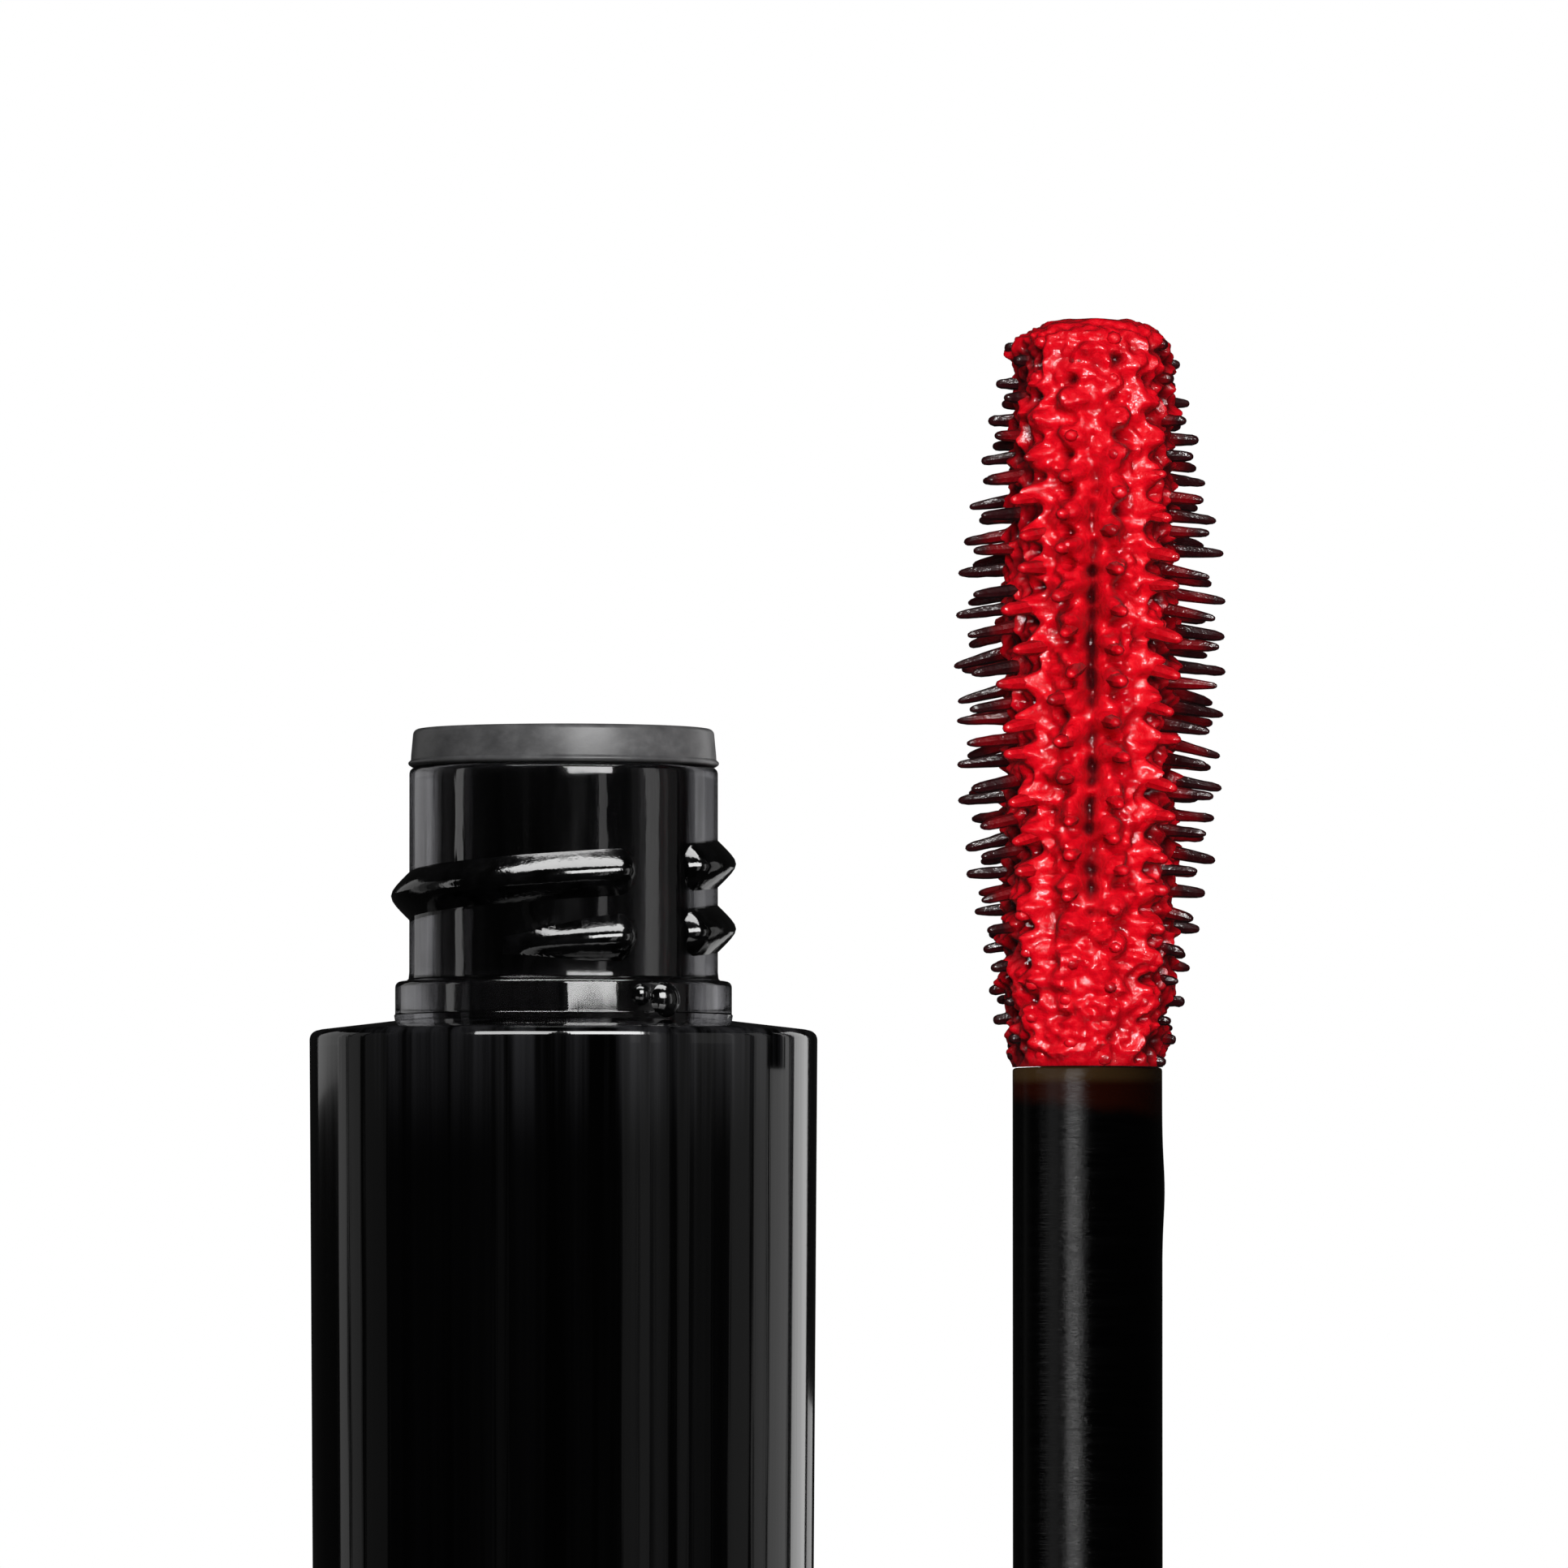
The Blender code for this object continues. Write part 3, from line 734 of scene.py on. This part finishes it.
def build_coat(work):
    """The formula's skin: a grid wrapped round the brush and closed over its nose."""
    columns, rows = 224, 330  # about 0.1 mm a face, to carry the finest pebbles
    by_row = {}
    for item in bristles():
        by_row.setdefault(int(item.height / MM), []).append(item)
    nose = 1.3 * MM
    nose_rows = 0.09  # share of the grid's rows that the nose takes
    full = 0.7  # share of the room under the tips above which the formula flattens
    bmesh.ops.create_grid(work, x_segments=columns, y_segments=rows, size=0.5)
    paint = work.verts.layers.float_color.new("film")
    for point in work.verts:
        across, up = point.co.x + 0.5, point.co.y + 0.5
        turn = FRONT + 2 * math.pi * across
        rise = max(0.0, (up - 1 + nose_rows) / nose_rows) * math.pi / 2
        height = COAT_TOP * min(1.0, up / (1 - nose_rows))
        skin = skin_radius(height)
        here = int(height / MM)
        near = [
            item
            for key in (here - 1, here, here + 1)
            for item in by_row.get(key, ())
            if abs(angle_gap(turn, item.turn)) < 0.4
        ]
        stand = coat_height(turn, height, near) * math.cos(rise) ** 2
        room = tip_radius(height) - 0.1 * MM - skin
        if stand > full * room:
            spare = (1 - full) * room
            stand = room - spare * math.exp(-(stand - full * room) / spare)
        reach = skin * math.cos(rise)
        over = height + nose * math.sin(rise)
        spot = Vector((math.cos(turn) * reach, math.sin(turn) * reach, over)) / MM
        lumps = lump(spot) * (1 - 0.85 * math.sin(rise))
        lumps *= MM * smoothstep(0.0, 0.6 * MM, height)
        # Painted shade: depth is low where the coat sinks into its hollows, and there the formula
        # is painted dark red
        depth = smoothstep(-0.2, 0.42, (stand + lumps) / MM + 0.5 * math.sin(rise))
        skin = (skin + (stand + lumps)) * math.cos(rise) ** 0.6
        height += (nose + 1.2 * lumps) * math.sin(rise)
        point[paint] = (depth, 1.0, 0.0, 1.0)
        place = Vector((skin * math.cos(turn), skin * math.sin(turn), BRUSH_BASE_Z + height))
        point.co = lean(place)
    bmesh.ops.remove_doubles(work, verts=work.verts, dist=0.002 * MM)
    close_ends(work)


def close_ends(work):
    """Fills the open loops of a skin."""
    edges = [edge for edge in work.edges if edge.is_boundary]
    if edges:
        bmesh.ops.holes_fill(work, edges=edges, sides=0)


def build_bristles(work):
    """The bristles as tapered pins with round tips, painted with how far the formula climbs, and
    with shade painted darker on the bristles at the sides and near their roots.
    """
    paint = work.verts.layers.float_color.new("film")
    sides = 8
    soft_edge = 0.12  # share of a bristle over which the formula thins out
    stations = (0.0, 0.2, 0.35, 0.5, 0.62, 0.74, 0.86, 0.95, 0.985)
    round_tip = {0.95: 0.8, 0.985: 0.5}  # how much thinner the last stations are
    for item in bristles():
        length = item.reach - ROOT_R
        # Painted shade: the red channel, low on bristles at the sides and near their roots, paints
        # them the dark pit red
        tint = 0.2 + 0.8 * item.facing
        film = (item.coverage + soft_edge, item.coverage - soft_edge)
        outward = Matrix.Rotation(item.turn, 4, "Z")
        tilt = Matrix.Rotation(item.droop, 4, "Y") @ Matrix.Rotation(item.side, 4, "Z")
        place = Matrix.Translation((0, 0, BRUSH_BASE_Z + item.height)) @ outward
        place @= Matrix.Translation((ROOT_R, 0, 0)) @ tilt
        rings = []
        for share in stations:
            radius = item.width + (item.tip - item.width) * share**0.8
            wet = smoothstep(*film, share)
            radius *= 1 + (item.fat - 1) * wet
            spot = Vector((share * 6, item.turn * 3, item.height / MM))
            radius = (radius + 0.035 * MM * noise.noise(spot)) * round_tip.get(share, 1.0)
            ring = []
            for number in range(sides):
                around = 2 * math.pi * number / sides
                sideways, upright = radius * math.cos(around), 0.86 * radius * math.sin(around)
                vert = work.verts.new(lean(place @ Vector((length * share, sideways, upright))))
                vert[paint] = ((0.55 + 0.45 * share) * tint, wet, 0.0, 1.0)
                ring.append(vert)
            rings.append(ring)
        tip = work.verts.new(lean(place @ Vector((length, 0, 0))))
        tip[paint] = (tint, smoothstep(*film, 1.0), 0.0, 1.0)
        for first, second in zip(rings, rings[1:]):
            for number in range(sides):
                after = (number + 1) % sides
                work.faces.new((first[number], first[after], second[after], second[number]))
        for number in range(sides):
            work.faces.new((rings[-1][number], rings[-1][(number + 1) % sides], tip))
        work.faces.new(reversed(rings[0]))


# Operators


class MASCARA_OT_stage(bpy.types.Operator):
    """Add the floor, the lights, the camera and the sky"""

    bl_idname = "mascara.stage"
    bl_label = "Stage"

    def execute(self, context):
        make_camera(context.scene)
        make_floor()
        make_lights()
        make_sky(context.scene)
        context.scene.view_settings.view_transform = "Standard"
        return {"FINISHED"}


def make_camera(scene):
    """A long lens a little above half height, tilted up so that the neck and brush fill it."""
    distance = 600 * MM
    width = 58.7 * MM  # what the frame spans at the object
    middle_x = 8.25 * MM
    look_at = Vector((middle_x, 0, SHELL_HIGH.z + 8.9 * MM))
    eye = Vector((middle_x, -distance, SHELL_HIGH.z - 13.3 * MM))
    data = bpy.data.cameras.new("camera")
    data.sensor_width = 36  # millimetres, as Blender counts a sensor
    data.lens = data.sensor_width * (look_at - eye).length / width
    data.clip_start = 10 * MM
    data.clip_end = 50
    camera = bpy.data.objects.new("camera", data)
    camera.location = eye
    camera.rotation_euler = (look_at - eye).to_track_quat("-Z", "Y").to_euler()
    scene.collection.objects.link(camera)
    scene.camera = camera


def make_floor():
    """A wide pale disc, painted plaster with a faint mottle."""
    work = bmesh.new()
    bmesh.ops.create_circle(work, cap_ends=True, segments=96, radius=1.5)
    mesh = bpy.data.meshes.new("floor")
    work.to_mesh(mesh)
    work.free()
    floor = bpy.data.objects.new("floor", mesh)
    bpy.context.scene.collection.objects.link(floor)
    floor.location.z = CAD_BOX[0].z - 0.02 * MM
    mesh.materials.append(patterned(
        "Plaster painted", {"IOR": 1.45}, grain=60 * MM,
        tints=[(0.3, "#EDEDEC"), (0.7, "#F4F4F3")], hazes=[(0.3, 0.75), (0.7, 0.85)],
        relief=0.05 * MM,
    )[0])
    floor.visible_glossy = False  # its pale disc would grey the undersides of dark pieces
    floor.visible_diffuse = False


def panel(name, around_deg, height, size, radiance, distance=0.5, tilted=True, kinds=(1, 1)):
    """A rectangular soft light at an angle round the object, facing it.

    0 degrees is behind the camera's back and 90 is at +X. radiance is how bright it looks. One
    that isn't tilted stands upright. kinds says whether it lights matt and glossy surfaces.
    """
    data = bpy.data.lights.new(name, "AREA")
    data.shape = "RECTANGLE"
    data.size, data.size_y = size
    data.energy = radiance * math.pi * size[0] * size[1]
    lamp = bpy.data.objects.new(name, data)
    around = math.radians(around_deg)
    target = Vector((8 * MM, 0, 76 * MM if tilted else height))
    lamp.location = (
        target.x + distance * math.sin(around), -distance * math.cos(around), height
    )
    lamp.rotation_euler = (target - lamp.location).to_track_quat("-Z", "Y").to_euler()
    lamp.visible_camera = False
    lamp.visible_diffuse, lamp.visible_glossy = map(bool, kinds)
    bpy.context.scene.collection.objects.link(lamp)
    return lamp


def linked(name, items, state):
    """A collection that a light's linking uses to include or to exclude pieces."""
    made = bpy.data.collections.new(name)
    for item in items:
        made.objects.link(item)
    for entry in made.collection_objects:
        entry.light_linking.link_state = state
    return made


def make_lights():
    """Upright strips whose reflections make the bottle's bands, soft boxes over the front, one
    overhead for the thread's upper flanks, a back light that shines through the neck, a wash
    over the floor, and small lights that fall on the brush or the stem alone."""
    brush = [bpy.data.objects[name] for name in ("brush_formula", "bristles")]
    rod = bpy.data.objects["stem_rod"]
    for item in (*brush, rod, bpy.data.objects["cap_outer"]):
        item.visible_glossy = False  # it would show as a red band in the bottle beside it
    off_wand = linked("off_the_wand", (*brush, rod), "EXCLUDE")
    on_brush = linked("on_the_brush", (*brush, bpy.data.objects["cap_insert"]), "INCLUDE")
    on_rod = linked("on_the_rod", (rod,), "INCLUDE")
    neck = bpy.data.objects["neck_and_vial"]
    off_neck = linked("off_the_neck", (*brush, rod, neck), "EXCLUDE")
    on_neck = linked("on_the_neck", (neck,), "INCLUDE")
    floor, ceiling = -0.18, 0.32
    over = 0.078  # just above the bottle's shoulder
    strips = (  # angle, width in degrees, radiance, lower edge, upper edge, what it falls on
        (-118, 8, 0.33, floor, ceiling, off_wand), (-108, 9, 0.17, floor, ceiling, off_wand),
        (-94, 14, 0.055, floor, ceiling, off_wand), (-28, 5, 0.03, floor, ceiling, off_wand),
        (30, 8, 0.1, floor, ceiling, off_neck), (37, 5, 0.15, floor, ceiling, off_neck),
        (45, 8, 0.09, floor, ceiling, off_neck), (56, 6, 0.1, floor, ceiling, off_wand),
        (66, 10, 0.045, floor, ceiling, off_wand), (88, 12, 0.15, floor, ceiling, off_wand),
        (102, 10, 0.33, floor, ceiling, off_wand), (117, 17, 0.54, floor, ceiling, off_neck),
        (139, 18, 1.4, floor, ceiling, off_neck), (158, 12, 0.6, floor, 0.058, off_wand),
        (-134, 26, 0.4, over, ceiling, off_wand), (37, 16, 0.25, over, ceiling, off_neck),
        (72, 26, 0.22, over, ceiling, off_wand), (-84, 7, 1.6, floor, ceiling, on_neck),
        (29, 6, 1.0, floor, ceiling, on_neck), (70, 12, 1.0, floor, ceiling, on_neck),
        (125, 16, 0.35, floor, ceiling, on_neck),
    )
    distance = 0.5
    for number, (angle, wide, radiance, low, high, lit) in enumerate(strips, 1):
        size = (distance * math.radians(wide), high - low)
        lamp = panel(
            f"strip_{number}", angle, (low + high) / 2, size, radiance, distance, tilted=False
        )
        lamp.light_linking.receiver_collection = lit
    stage_floor = bpy.data.objects["floor"]
    back = panel("back", 180, 0.07, (1.7, 0.5), 0.95, kinds=MATT)
    back.light_linking.receiver_collection = linked("off_the_floor", (stage_floor,), "EXCLUDE")
    wiper = bpy.data.objects["wiper_insert"]
    clear_of_rim = linked("off_the_rim", (*brush, rod, wiper), "EXCLUDE")
    front = panel("front_box", 20, 0.29, (0.3, 0.26), 13.0, distance=0.45)
    front.light_linking.receiver_collection = clear_of_rim
    side = panel("front_side", -24, 0.29, (0.3, 0.26), 8.0, distance=0.45, kinds=GLOSSY)
    body = bpy.data.objects["bottle_body"]
    side.light_linking.receiver_collection = linked("on_the_body", (body,), "INCLUDE")
    overhead = panel("overhead", 0, 0.62, (0.6, 0.26), 9.0, distance=0.12, kinds=GLOSSY)
    overhead.light_linking.receiver_collection = on_neck
    rim = panel("rim_box", 20, 0.29, (0.3, 0.26), 10.0, distance=0.45)
    rim.light_linking.receiver_collection = linked("on_the_rim", (wiper,), "INCLUDE")
    wash = panel("floor_wash", 0, 1.5, (1.6, 1.6), 2.2, distance=0.05, kinds=MATT)
    wash.light_linking.receiver_collection = linked("on_the_floor", (stage_floor,), "INCLUDE")
    small = (
        panel("key", -14, 0.34, (0.05, 0.05), 130.0, distance=0.42, kinds=MATT),
        panel("fill", 10, 0.16, (0.3, 0.3), 13.0, distance=0.6, kinds=MATT),
        panel("spark", -8, 0.36, (0.11, 0.11), 50.0, distance=0.42, kinds=GLOSSY),
        panel("low_spark", 34, 0.14, (0.07, 0.07), 40.0, distance=0.45, kinds=GLOSSY),
    )
    for lamp in small:
        lamp.light_linking.receiver_collection = on_brush
    upright = (
        panel("rod_strip", -21, 0.07, (0.022, 0.5), 20.0, tilted=False),
        panel("rod_side", -62, 0.07, (0.36, 0.5), 0.3, tilted=False),
        panel("rod_back", 180, 0.07, (0.03, 0.5), 8.0, tilted=False),
    )
    for lamp in upright:
        lamp.light_linking.receiver_collection = on_rod


def make_sky(scene):
    """White where the camera looks straight at it, and dim where it lights or reflects."""
    sky = bpy.data.worlds.new("studio")
    sky.use_nodes = True
    tree = sky.node_tree
    tree.nodes.clear()
    seen = add_node(tree, "ShaderNodeBackground", values={"Color": grey(1.0), "Strength": 1.0})
    felt = add_node(tree, "ShaderNodeBackground", values={"Color": grey(1.0), "Strength": 0.008})
    path = add_node(tree, "ShaderNodeLightPath")
    mixed = add_node(tree, "ShaderNodeMixShader", links={"Fac": path.outputs["Is Camera Ray"]})
    tree.links.new(felt.outputs["Background"], mixed.inputs[1])
    tree.links.new(seen.outputs["Background"], mixed.inputs[2])
    add_node(tree, "ShaderNodeOutputWorld", links={"Surface": mixed.outputs["Shader"]})
    scene.world = sky


class MASCARA_OT_bottle(bpy.types.Operator):
    """Make the thick outer bottle and finish its base plug"""

    bl_idname = "mascara.bottle"
    bl_label = "Bottle"

    def execute(self, context):
        edge = sizes().edge_radius
        rise = 0.33 * MM  # the shoulder is this much higher at the neck than at its edge
        hole_r = 6.4 * MM  # closer round the collar than in the CAD
        shoulder_z = SHELL_HIGH.z - rise
        under_z = shoulder_z - 1.1 * MM
        base_r = 9.0 * MM  # the wall leans in a little towards the base
        foot = 0.7 * MM
        chamfer = 0.15 * MM
        work = bmesh.new()
        turn(work, [
            (hole_r, shoulder_z + rise),
            *straight((hole_r + 0.1 * MM, shoulder_z + 0.325 * MM),
                      (BODY_R - edge - 0.05 * MM, shoulder_z + 0.02 * MM), 4),
            *arc(BODY_R - edge, shoulder_z - edge, edge, 84, 0, 7),
            *straight((BODY_R - 0.002 * MM, shoulder_z - edge - 0.3 * MM),
                      (base_r, foot + 0.3 * MM), 24),
            *arc(base_r - foot, foot, foot, -5, -90, 7),
            (SHELL_BORE_R + chamfer, 0.0),
            (SHELL_BORE_R, chamfer),
            (SHELL_BORE_R, under_z),
            (hole_r, under_z),
        ])
        made = piece("bottle_body", work, "bottle", "bottle_shell", "bottle_shell")
        made.data.materials.append(smoked_body())
        finish_node("base_plug", moulded_polypropylene(
            "Polypropylene black, spark textured", "#0B0B0C", "#161617", 0.5, 0.15 * MM))
        return {"FINISHED"}


class MASCARA_OT_neck(bpy.types.Operator):
    """Make the clear smoked vial with its collar, thread and stop lug"""

    bl_idname = "mascara.neck"
    bl_label = "Neck and vial"

    def execute(self, context):
        own = sizes()
        top_z = RIM_TOP_Z - 1.45 * MM
        edge = 0.22 * MM
        fillet = 0.2 * MM
        groove_r = 0.09 * MM  # a fine groove where the collar meets the bottle
        work = bmesh.new()
        turn(work, [
            (0.0, VIAL_FLOOR_Z),
            (VIAL_BORE_R, VIAL_FLOOR_Z),
            (VIAL_BORE_R, VIAL_SHOULDER_Z - 1.6 * MM),
            (NECK_BORE_R, VIAL_SHOULDER_Z + 0.6 * MM),
            *straight((NECK_BORE_R, VIAL_SHOULDER_Z + 1.5 * MM), (NECK_BORE_R, top_z), 5),
            *arc(NECK_R - edge, top_z - edge, edge, 90, 0, 4),
            *straight((NECK_R, top_z - 0.6 * MM), (NECK_R, COLLAR_TOP_Z + 0.35 * MM), 8),
            *arc(NECK_R + fillet, COLLAR_TOP_Z + fillet, fillet, 180, 270, 4)[1:],
            *arc(COLLAR_R - edge, COLLAR_TOP_Z - edge, edge, 90, 0, 5),
            *arc(COLLAR_R + groove_r, SHELL_HIGH.z + 0.3 * MM, groove_r, 180, 235, 4),
            (COLLAR_R, SHELL_HIGH.z),
            (COLLAR_R, VIAL_SHOULDER_Z),
            (VIAL_R, VIAL_SHOULDER_Z),
            (VIAL_R, VIAL_LOW.z),
            (0.0, VIAL_LOW.z),
        ], closed=False)
        made = piece("neck_and_vial", work, "bottle", "inner_vial", "inner_vial")
        thread = bmesh.new()
        crest = 0.685 * MM
        runs = ((-112, -62, 44), (-38, 118, 0), (142, 298, 0), (322, 436, 0))
        sweep_ridge(
            thread, NECK_R, crest, own.thread_width, runs, own.thread_lead, THREAD_RIGHT_Z
        )
        made.data.materials.append(smoked_neck())
        thick = smoked_thick()
        joined(made, tool_object(thread, thick))
        joined(made, tool_object(stop_lug(), thick))
        return {"FINISHED"}


def stop_lug():
    """The half dome on the collar and the small bead beside it."""
    work = bmesh.new()
    beads = (  # degrees, radius, how far it is sunk in the collar and how far below its top, mm
        (-52, 0.78, 0.42, 0.80), (-62, 0.42, 0.1, 0.62),
    )
    for turn_deg, radius, inset, drop in beads:
        dome = bmesh.new()
        bmesh.ops.create_uvsphere(dome, u_segments=32, v_segments=20, radius=radius * MM)
        around = math.radians(turn_deg)
        reach = COLLAR_R - inset * MM
        height = COLLAR_TOP_Z - drop * MM
        spot = Vector((reach * math.cos(around), reach * math.sin(around), height))
        bmesh.ops.translate(dome, verts=dome.verts, vec=spot)
        mesh = bpy.data.meshes.new("dome")
        dome.to_mesh(mesh)
        dome.free()
        work.from_mesh(mesh)
        bpy.data.meshes.remove(mesh)
    return work


class MASCARA_OT_wiper(bpy.types.Operator):
    """Make the satin wiper and the formula that lines the vial"""

    bl_idname = "mascara.wiper"
    bl_label = "Wiper"

    def execute(self, context):
        base_z = RIM_TOP_Z - 1.42 * MM
        rim_r = 5.64 * MM
        rim_edge = 0.22 * MM
        inner_edge = 0.25 * MM
        bead = 0.09 * MM  # the fine bead round the rim's foot
        bead_r = 5.82 * MM
        sleeve_r = 4.7 * MM
        cone_z = 74.5 * MM  # where the sleeve starts to narrow
        lip_r = 2.96 * MM  # just clear of the stem
        work = bmesh.new()
        turn(work, [
            *arc(4.65 * MM, RIM_TOP_Z - inner_edge, inner_edge, 180, 90, 4),
            *arc(rim_r - rim_edge, RIM_TOP_Z - rim_edge, rim_edge, 90, 8, 6),
            (5.71 * MM, base_z + 0.45 * MM),
            (5.72 * MM, base_z + 0.26 * MM),
            *arc(bead_r - bead, base_z + 0.13 * MM, bead, 70, -60, 5),
            (5.7 * MM, base_z),
            (sleeve_r, base_z),
            *straight((sleeve_r, base_z - 0.4 * MM), (sleeve_r, cone_z), 5),
            (3.5 * MM, WIPER_LOW.z + 0.2 * MM),
            (3.3 * MM, WIPER_LOW.z),
            (lip_r, WIPER_LOW.z),
            (lip_r, WIPER_LOW.z + 0.2 * MM),
            (4.1 * MM, cone_z),
            *straight((4.2 * MM, cone_z + 0.5 * MM), (4.25 * MM, RIM_TOP_Z - 0.8 * MM), 4),
        ])
        made = piece("wiper_insert", work, "bottle", "wiper", "wiper")
        made.data.materials.append(satin_wiper())
        finish_node("formula_lining", wet_formula("Wax emulsion film on the wall", film=False))
        return {"FINISHED"}


class MASCARA_OT_stem(bpy.types.Operator):
    """Make the satin stem and finish what it holds"""

    bl_idname = "mascara.stem"
    bl_label = "Stem"

    def execute(self, context):
        top = BRUSH_BASE_Z - 0.02 * MM
        edge = 0.12 * MM
        flange_r = 4.6 * MM
        flange_low, flange_high = 21.4 * MM, 23.1 * MM
        work = bmesh.new()
        turn(work, [
            (STEM_BORE_R, top),
            *arc(STEM_R - edge, top - edge, edge, 90, 0, 4),
            (STEM_R, top - 0.5 * MM),
            *straight((STEM_R, top - 1.2 * MM), (STEM_R, top - 7.2 * MM), 20),
            *straight((STEM_R, 60 * MM), (STEM_R, 24 * MM), 12),
            (STEM_R, flange_high),
            (flange_r, flange_high),
            (flange_r, flange_low),
            (STEM_R, flange_low),
            (STEM_R, STEM_LOW.z),
            (STEM_BORE_R, STEM_LOW.z),
        ], sides=SLIM_SIDES)
        blister = Vector((STEM_R, 0.0, top - 4.6 * MM))  # a worn swelling on one side
        for point in work.verts:
            if math.hypot(point.co.x, point.co.y) > STEM_R - 0.01 * MM and point.co.z > 60 * MM:
                gap = (point.co - blister) / (1.5 * MM)
                outward = Vector((point.co.x, point.co.y, 0.0)).normalized()
                point.co += outward * 0.09 * MM * math.exp(-(gap.length**2))
        made = piece("stem_rod", work, "wand", "stem", "stem", x=WAND_X)
        made.data.materials.append(drawn_stem())
        finish_node("brush_core", moulded_polypropylene(
            "Polypropylene black, moulded", "#0D0D0E", "#1B1B1C", 0.4, 0.2 * MM))
        wire = tooled_steel("Steel drawn wire", "#B4B4B6", (1, 1, 0.05))
        finish_node("brush_stiffener_pin", wire)
        return {"FINISHED"}


class MASCARA_OT_brush(bpy.types.Operator):
    """Make the bristles and the formula that coats them"""

    bl_idname = "mascara.brush"
    bl_label = "Brush"

    def execute(self, context):
        skin = bmesh.new()
        build_coat(skin)
        coat = piece("brush_formula", skin, "wand", "bristle_sleeve", "bristle_sleeve", x=WAND_X)
        coat.data.materials.append(wet_formula())
        pins = bmesh.new()
        build_bristles(pins)
        made = piece("bristles", pins, "wand", "bristle_sleeve", "bristle_sleeve", x=WAND_X)
        made.data.materials.append(wet_formula("Elastomer bristle, filmed with formula"))
        return {"FINISHED"}


class MASCARA_OT_cap(bpy.types.Operator):
    """Make the cap and its threaded insert, and finish what it holds"""

    bl_idname = "mascara.cap"
    bl_label = "Cap"

    def execute(self, context):
        radius = (CAP_HIGH.x - CAP_LOW.x) / 2
        top = CAP_HIGH.z
        edge = 0.3 * MM
        foot = 0.7 * MM
        plate = 1.6 * MM
        bore = 8.5 * MM
        chamfer = 0.2 * MM
        work = bmesh.new()
        turn(work, [
            (0.0, plate),
            (bore - chamfer, plate),
            (bore, plate + chamfer),
            *straight((bore, plate + 4 * chamfer), (bore, top - 0.5 * MM), 10),
            *arc(bore + edge, top - edge, edge, 180, 90, 4),
            *arc(radius - edge, top - edge, edge, 90, 0, 6),
            *straight((radius, top - 0.8 * MM), (radius, foot + 0.4 * MM), 18),
            *arc(radius - foot, foot, foot, 0, -90, 7),
            (radius - 1.6 * MM, 0.0),
            (0.0, 0.0),
        ], closed=False)
        shell = piece("cap_outer", work, "wand", "cap_shell", "cap_shell", x=WAND_X)
        shell.data.materials.append(polished_cap())
        self.insert()
        finish_node("cap_seal_ring", moulded_polypropylene(
            "Polyethylene foam liner", "#D9D8D2", "#ECEBE6", 0.7, 0.25 * MM))
        finish_node("cap_weight", tooled_steel("Steel turned", "#C2C2C4", (0.2, 0.2, 4.0)))
        return {"FINISHED"}

    def insert(self):
        """The threaded insert with its lead-in edge, web and thread."""
        top = INSERT_HIGH.z
        low = INSERT_LOW.z
        bore = 6.75 * MM
        lead_in = 0.35 * MM
        outer = 8.2 * MM
        edge = 0.2 * MM
        pocket = 5.2 * MM  # room for the stem's flange
        web_low, web_high = 23.4 * MM, 26.0 * MM
        grip = STEM_R + 0.15 * MM
        work = bmesh.new()
        turn(work, [
            (bore + lead_in, top),
            *arc(outer - edge, top - edge, edge, 90, 0, 4),
            *straight((outer, top - 1 * MM), (outer, low + 0.4 * MM), 8),
            (outer, low),
            (pocket, low),
            (pocket, web_low),
            (grip, web_low),
            (grip, web_high),
            (bore, web_high),
            *straight((bore, web_high + 1 * MM), (bore, top - lead_in), 6),
        ])
        made = piece("cap_insert", work, "wand", "inner_cap", "inner_cap")
        thread = bmesh.new()
        lead = sizes().thread_lead
        ridge_z = CLOSED_TOP_Z - THREAD_RIGHT_Z - lead / 2
        crest, width, runs = 0.58 * MM, 1.0 * MM, ((-400, -20, 30),)
        sweep_ridge(thread, bore, crest, width, runs, lead, ridge_z, sign=-1.0)
        joined(made, tool_object(thread))
        made.data.transform(Matrix.Translation((WAND_X, 0, 0)))
        made.data.materials.clear()
        made.data.materials.append(moulded_polypropylene(
            "Polypropylene natural, moulded", "#C9C9C6", "#DCDCD8", 0.4, 0.2 * MM))


class MASCARA_PT_panel(bpy.types.Panel):
    """Lists the sizes, the colours and the operators"""

    bl_idname = "MASCARA_PT_panel"
    bl_label = "Mascara tube"
    bl_space_type = "VIEW_3D"
    bl_region_type = "UI"
    bl_category = "Mascara"

    def draw(self, context):
        for group in (context.scene.mascara_sizes, context.scene.mascara_colours):
            box = self.layout.box()
            for key in group.bl_rna.properties.keys():
                if key not in {"name", "rna_type"}:
                    box.prop(group, key)
        for operator in OPERATORS:
            self.layout.operator(operator.bl_idname)


OPERATORS = (
    MASCARA_OT_bottle,
    MASCARA_OT_neck,
    MASCARA_OT_wiper,
    MASCARA_OT_stem,
    MASCARA_OT_brush,
    MASCARA_OT_cap,
    MASCARA_OT_stage,
)
CLASSES = (MascaraSizes, MascaraColours, *OPERATORS, MASCARA_PT_panel)


def register():
    for made in CLASSES:
        bpy.utils.register_class(made)
    bpy.types.Scene.mascara_sizes = PointerProperty(type=MascaraSizes)
    bpy.types.Scene.mascara_colours = PointerProperty(type=MascaraColours)


def unregister():
    del bpy.types.Scene.mascara_sizes
    del bpy.types.Scene.mascara_colours
    for made in reversed(CLASSES):
        bpy.utils.unregister_class(made)


def main():
    register()
    bpy.ops.mascara.bottle()
    bpy.ops.mascara.neck()
    bpy.ops.mascara.wiper()
    bpy.ops.mascara.stem()
    bpy.ops.mascara.brush()
    bpy.ops.mascara.cap()
    bpy.ops.mascara.stage()


if __name__ == "__main__":
    main()
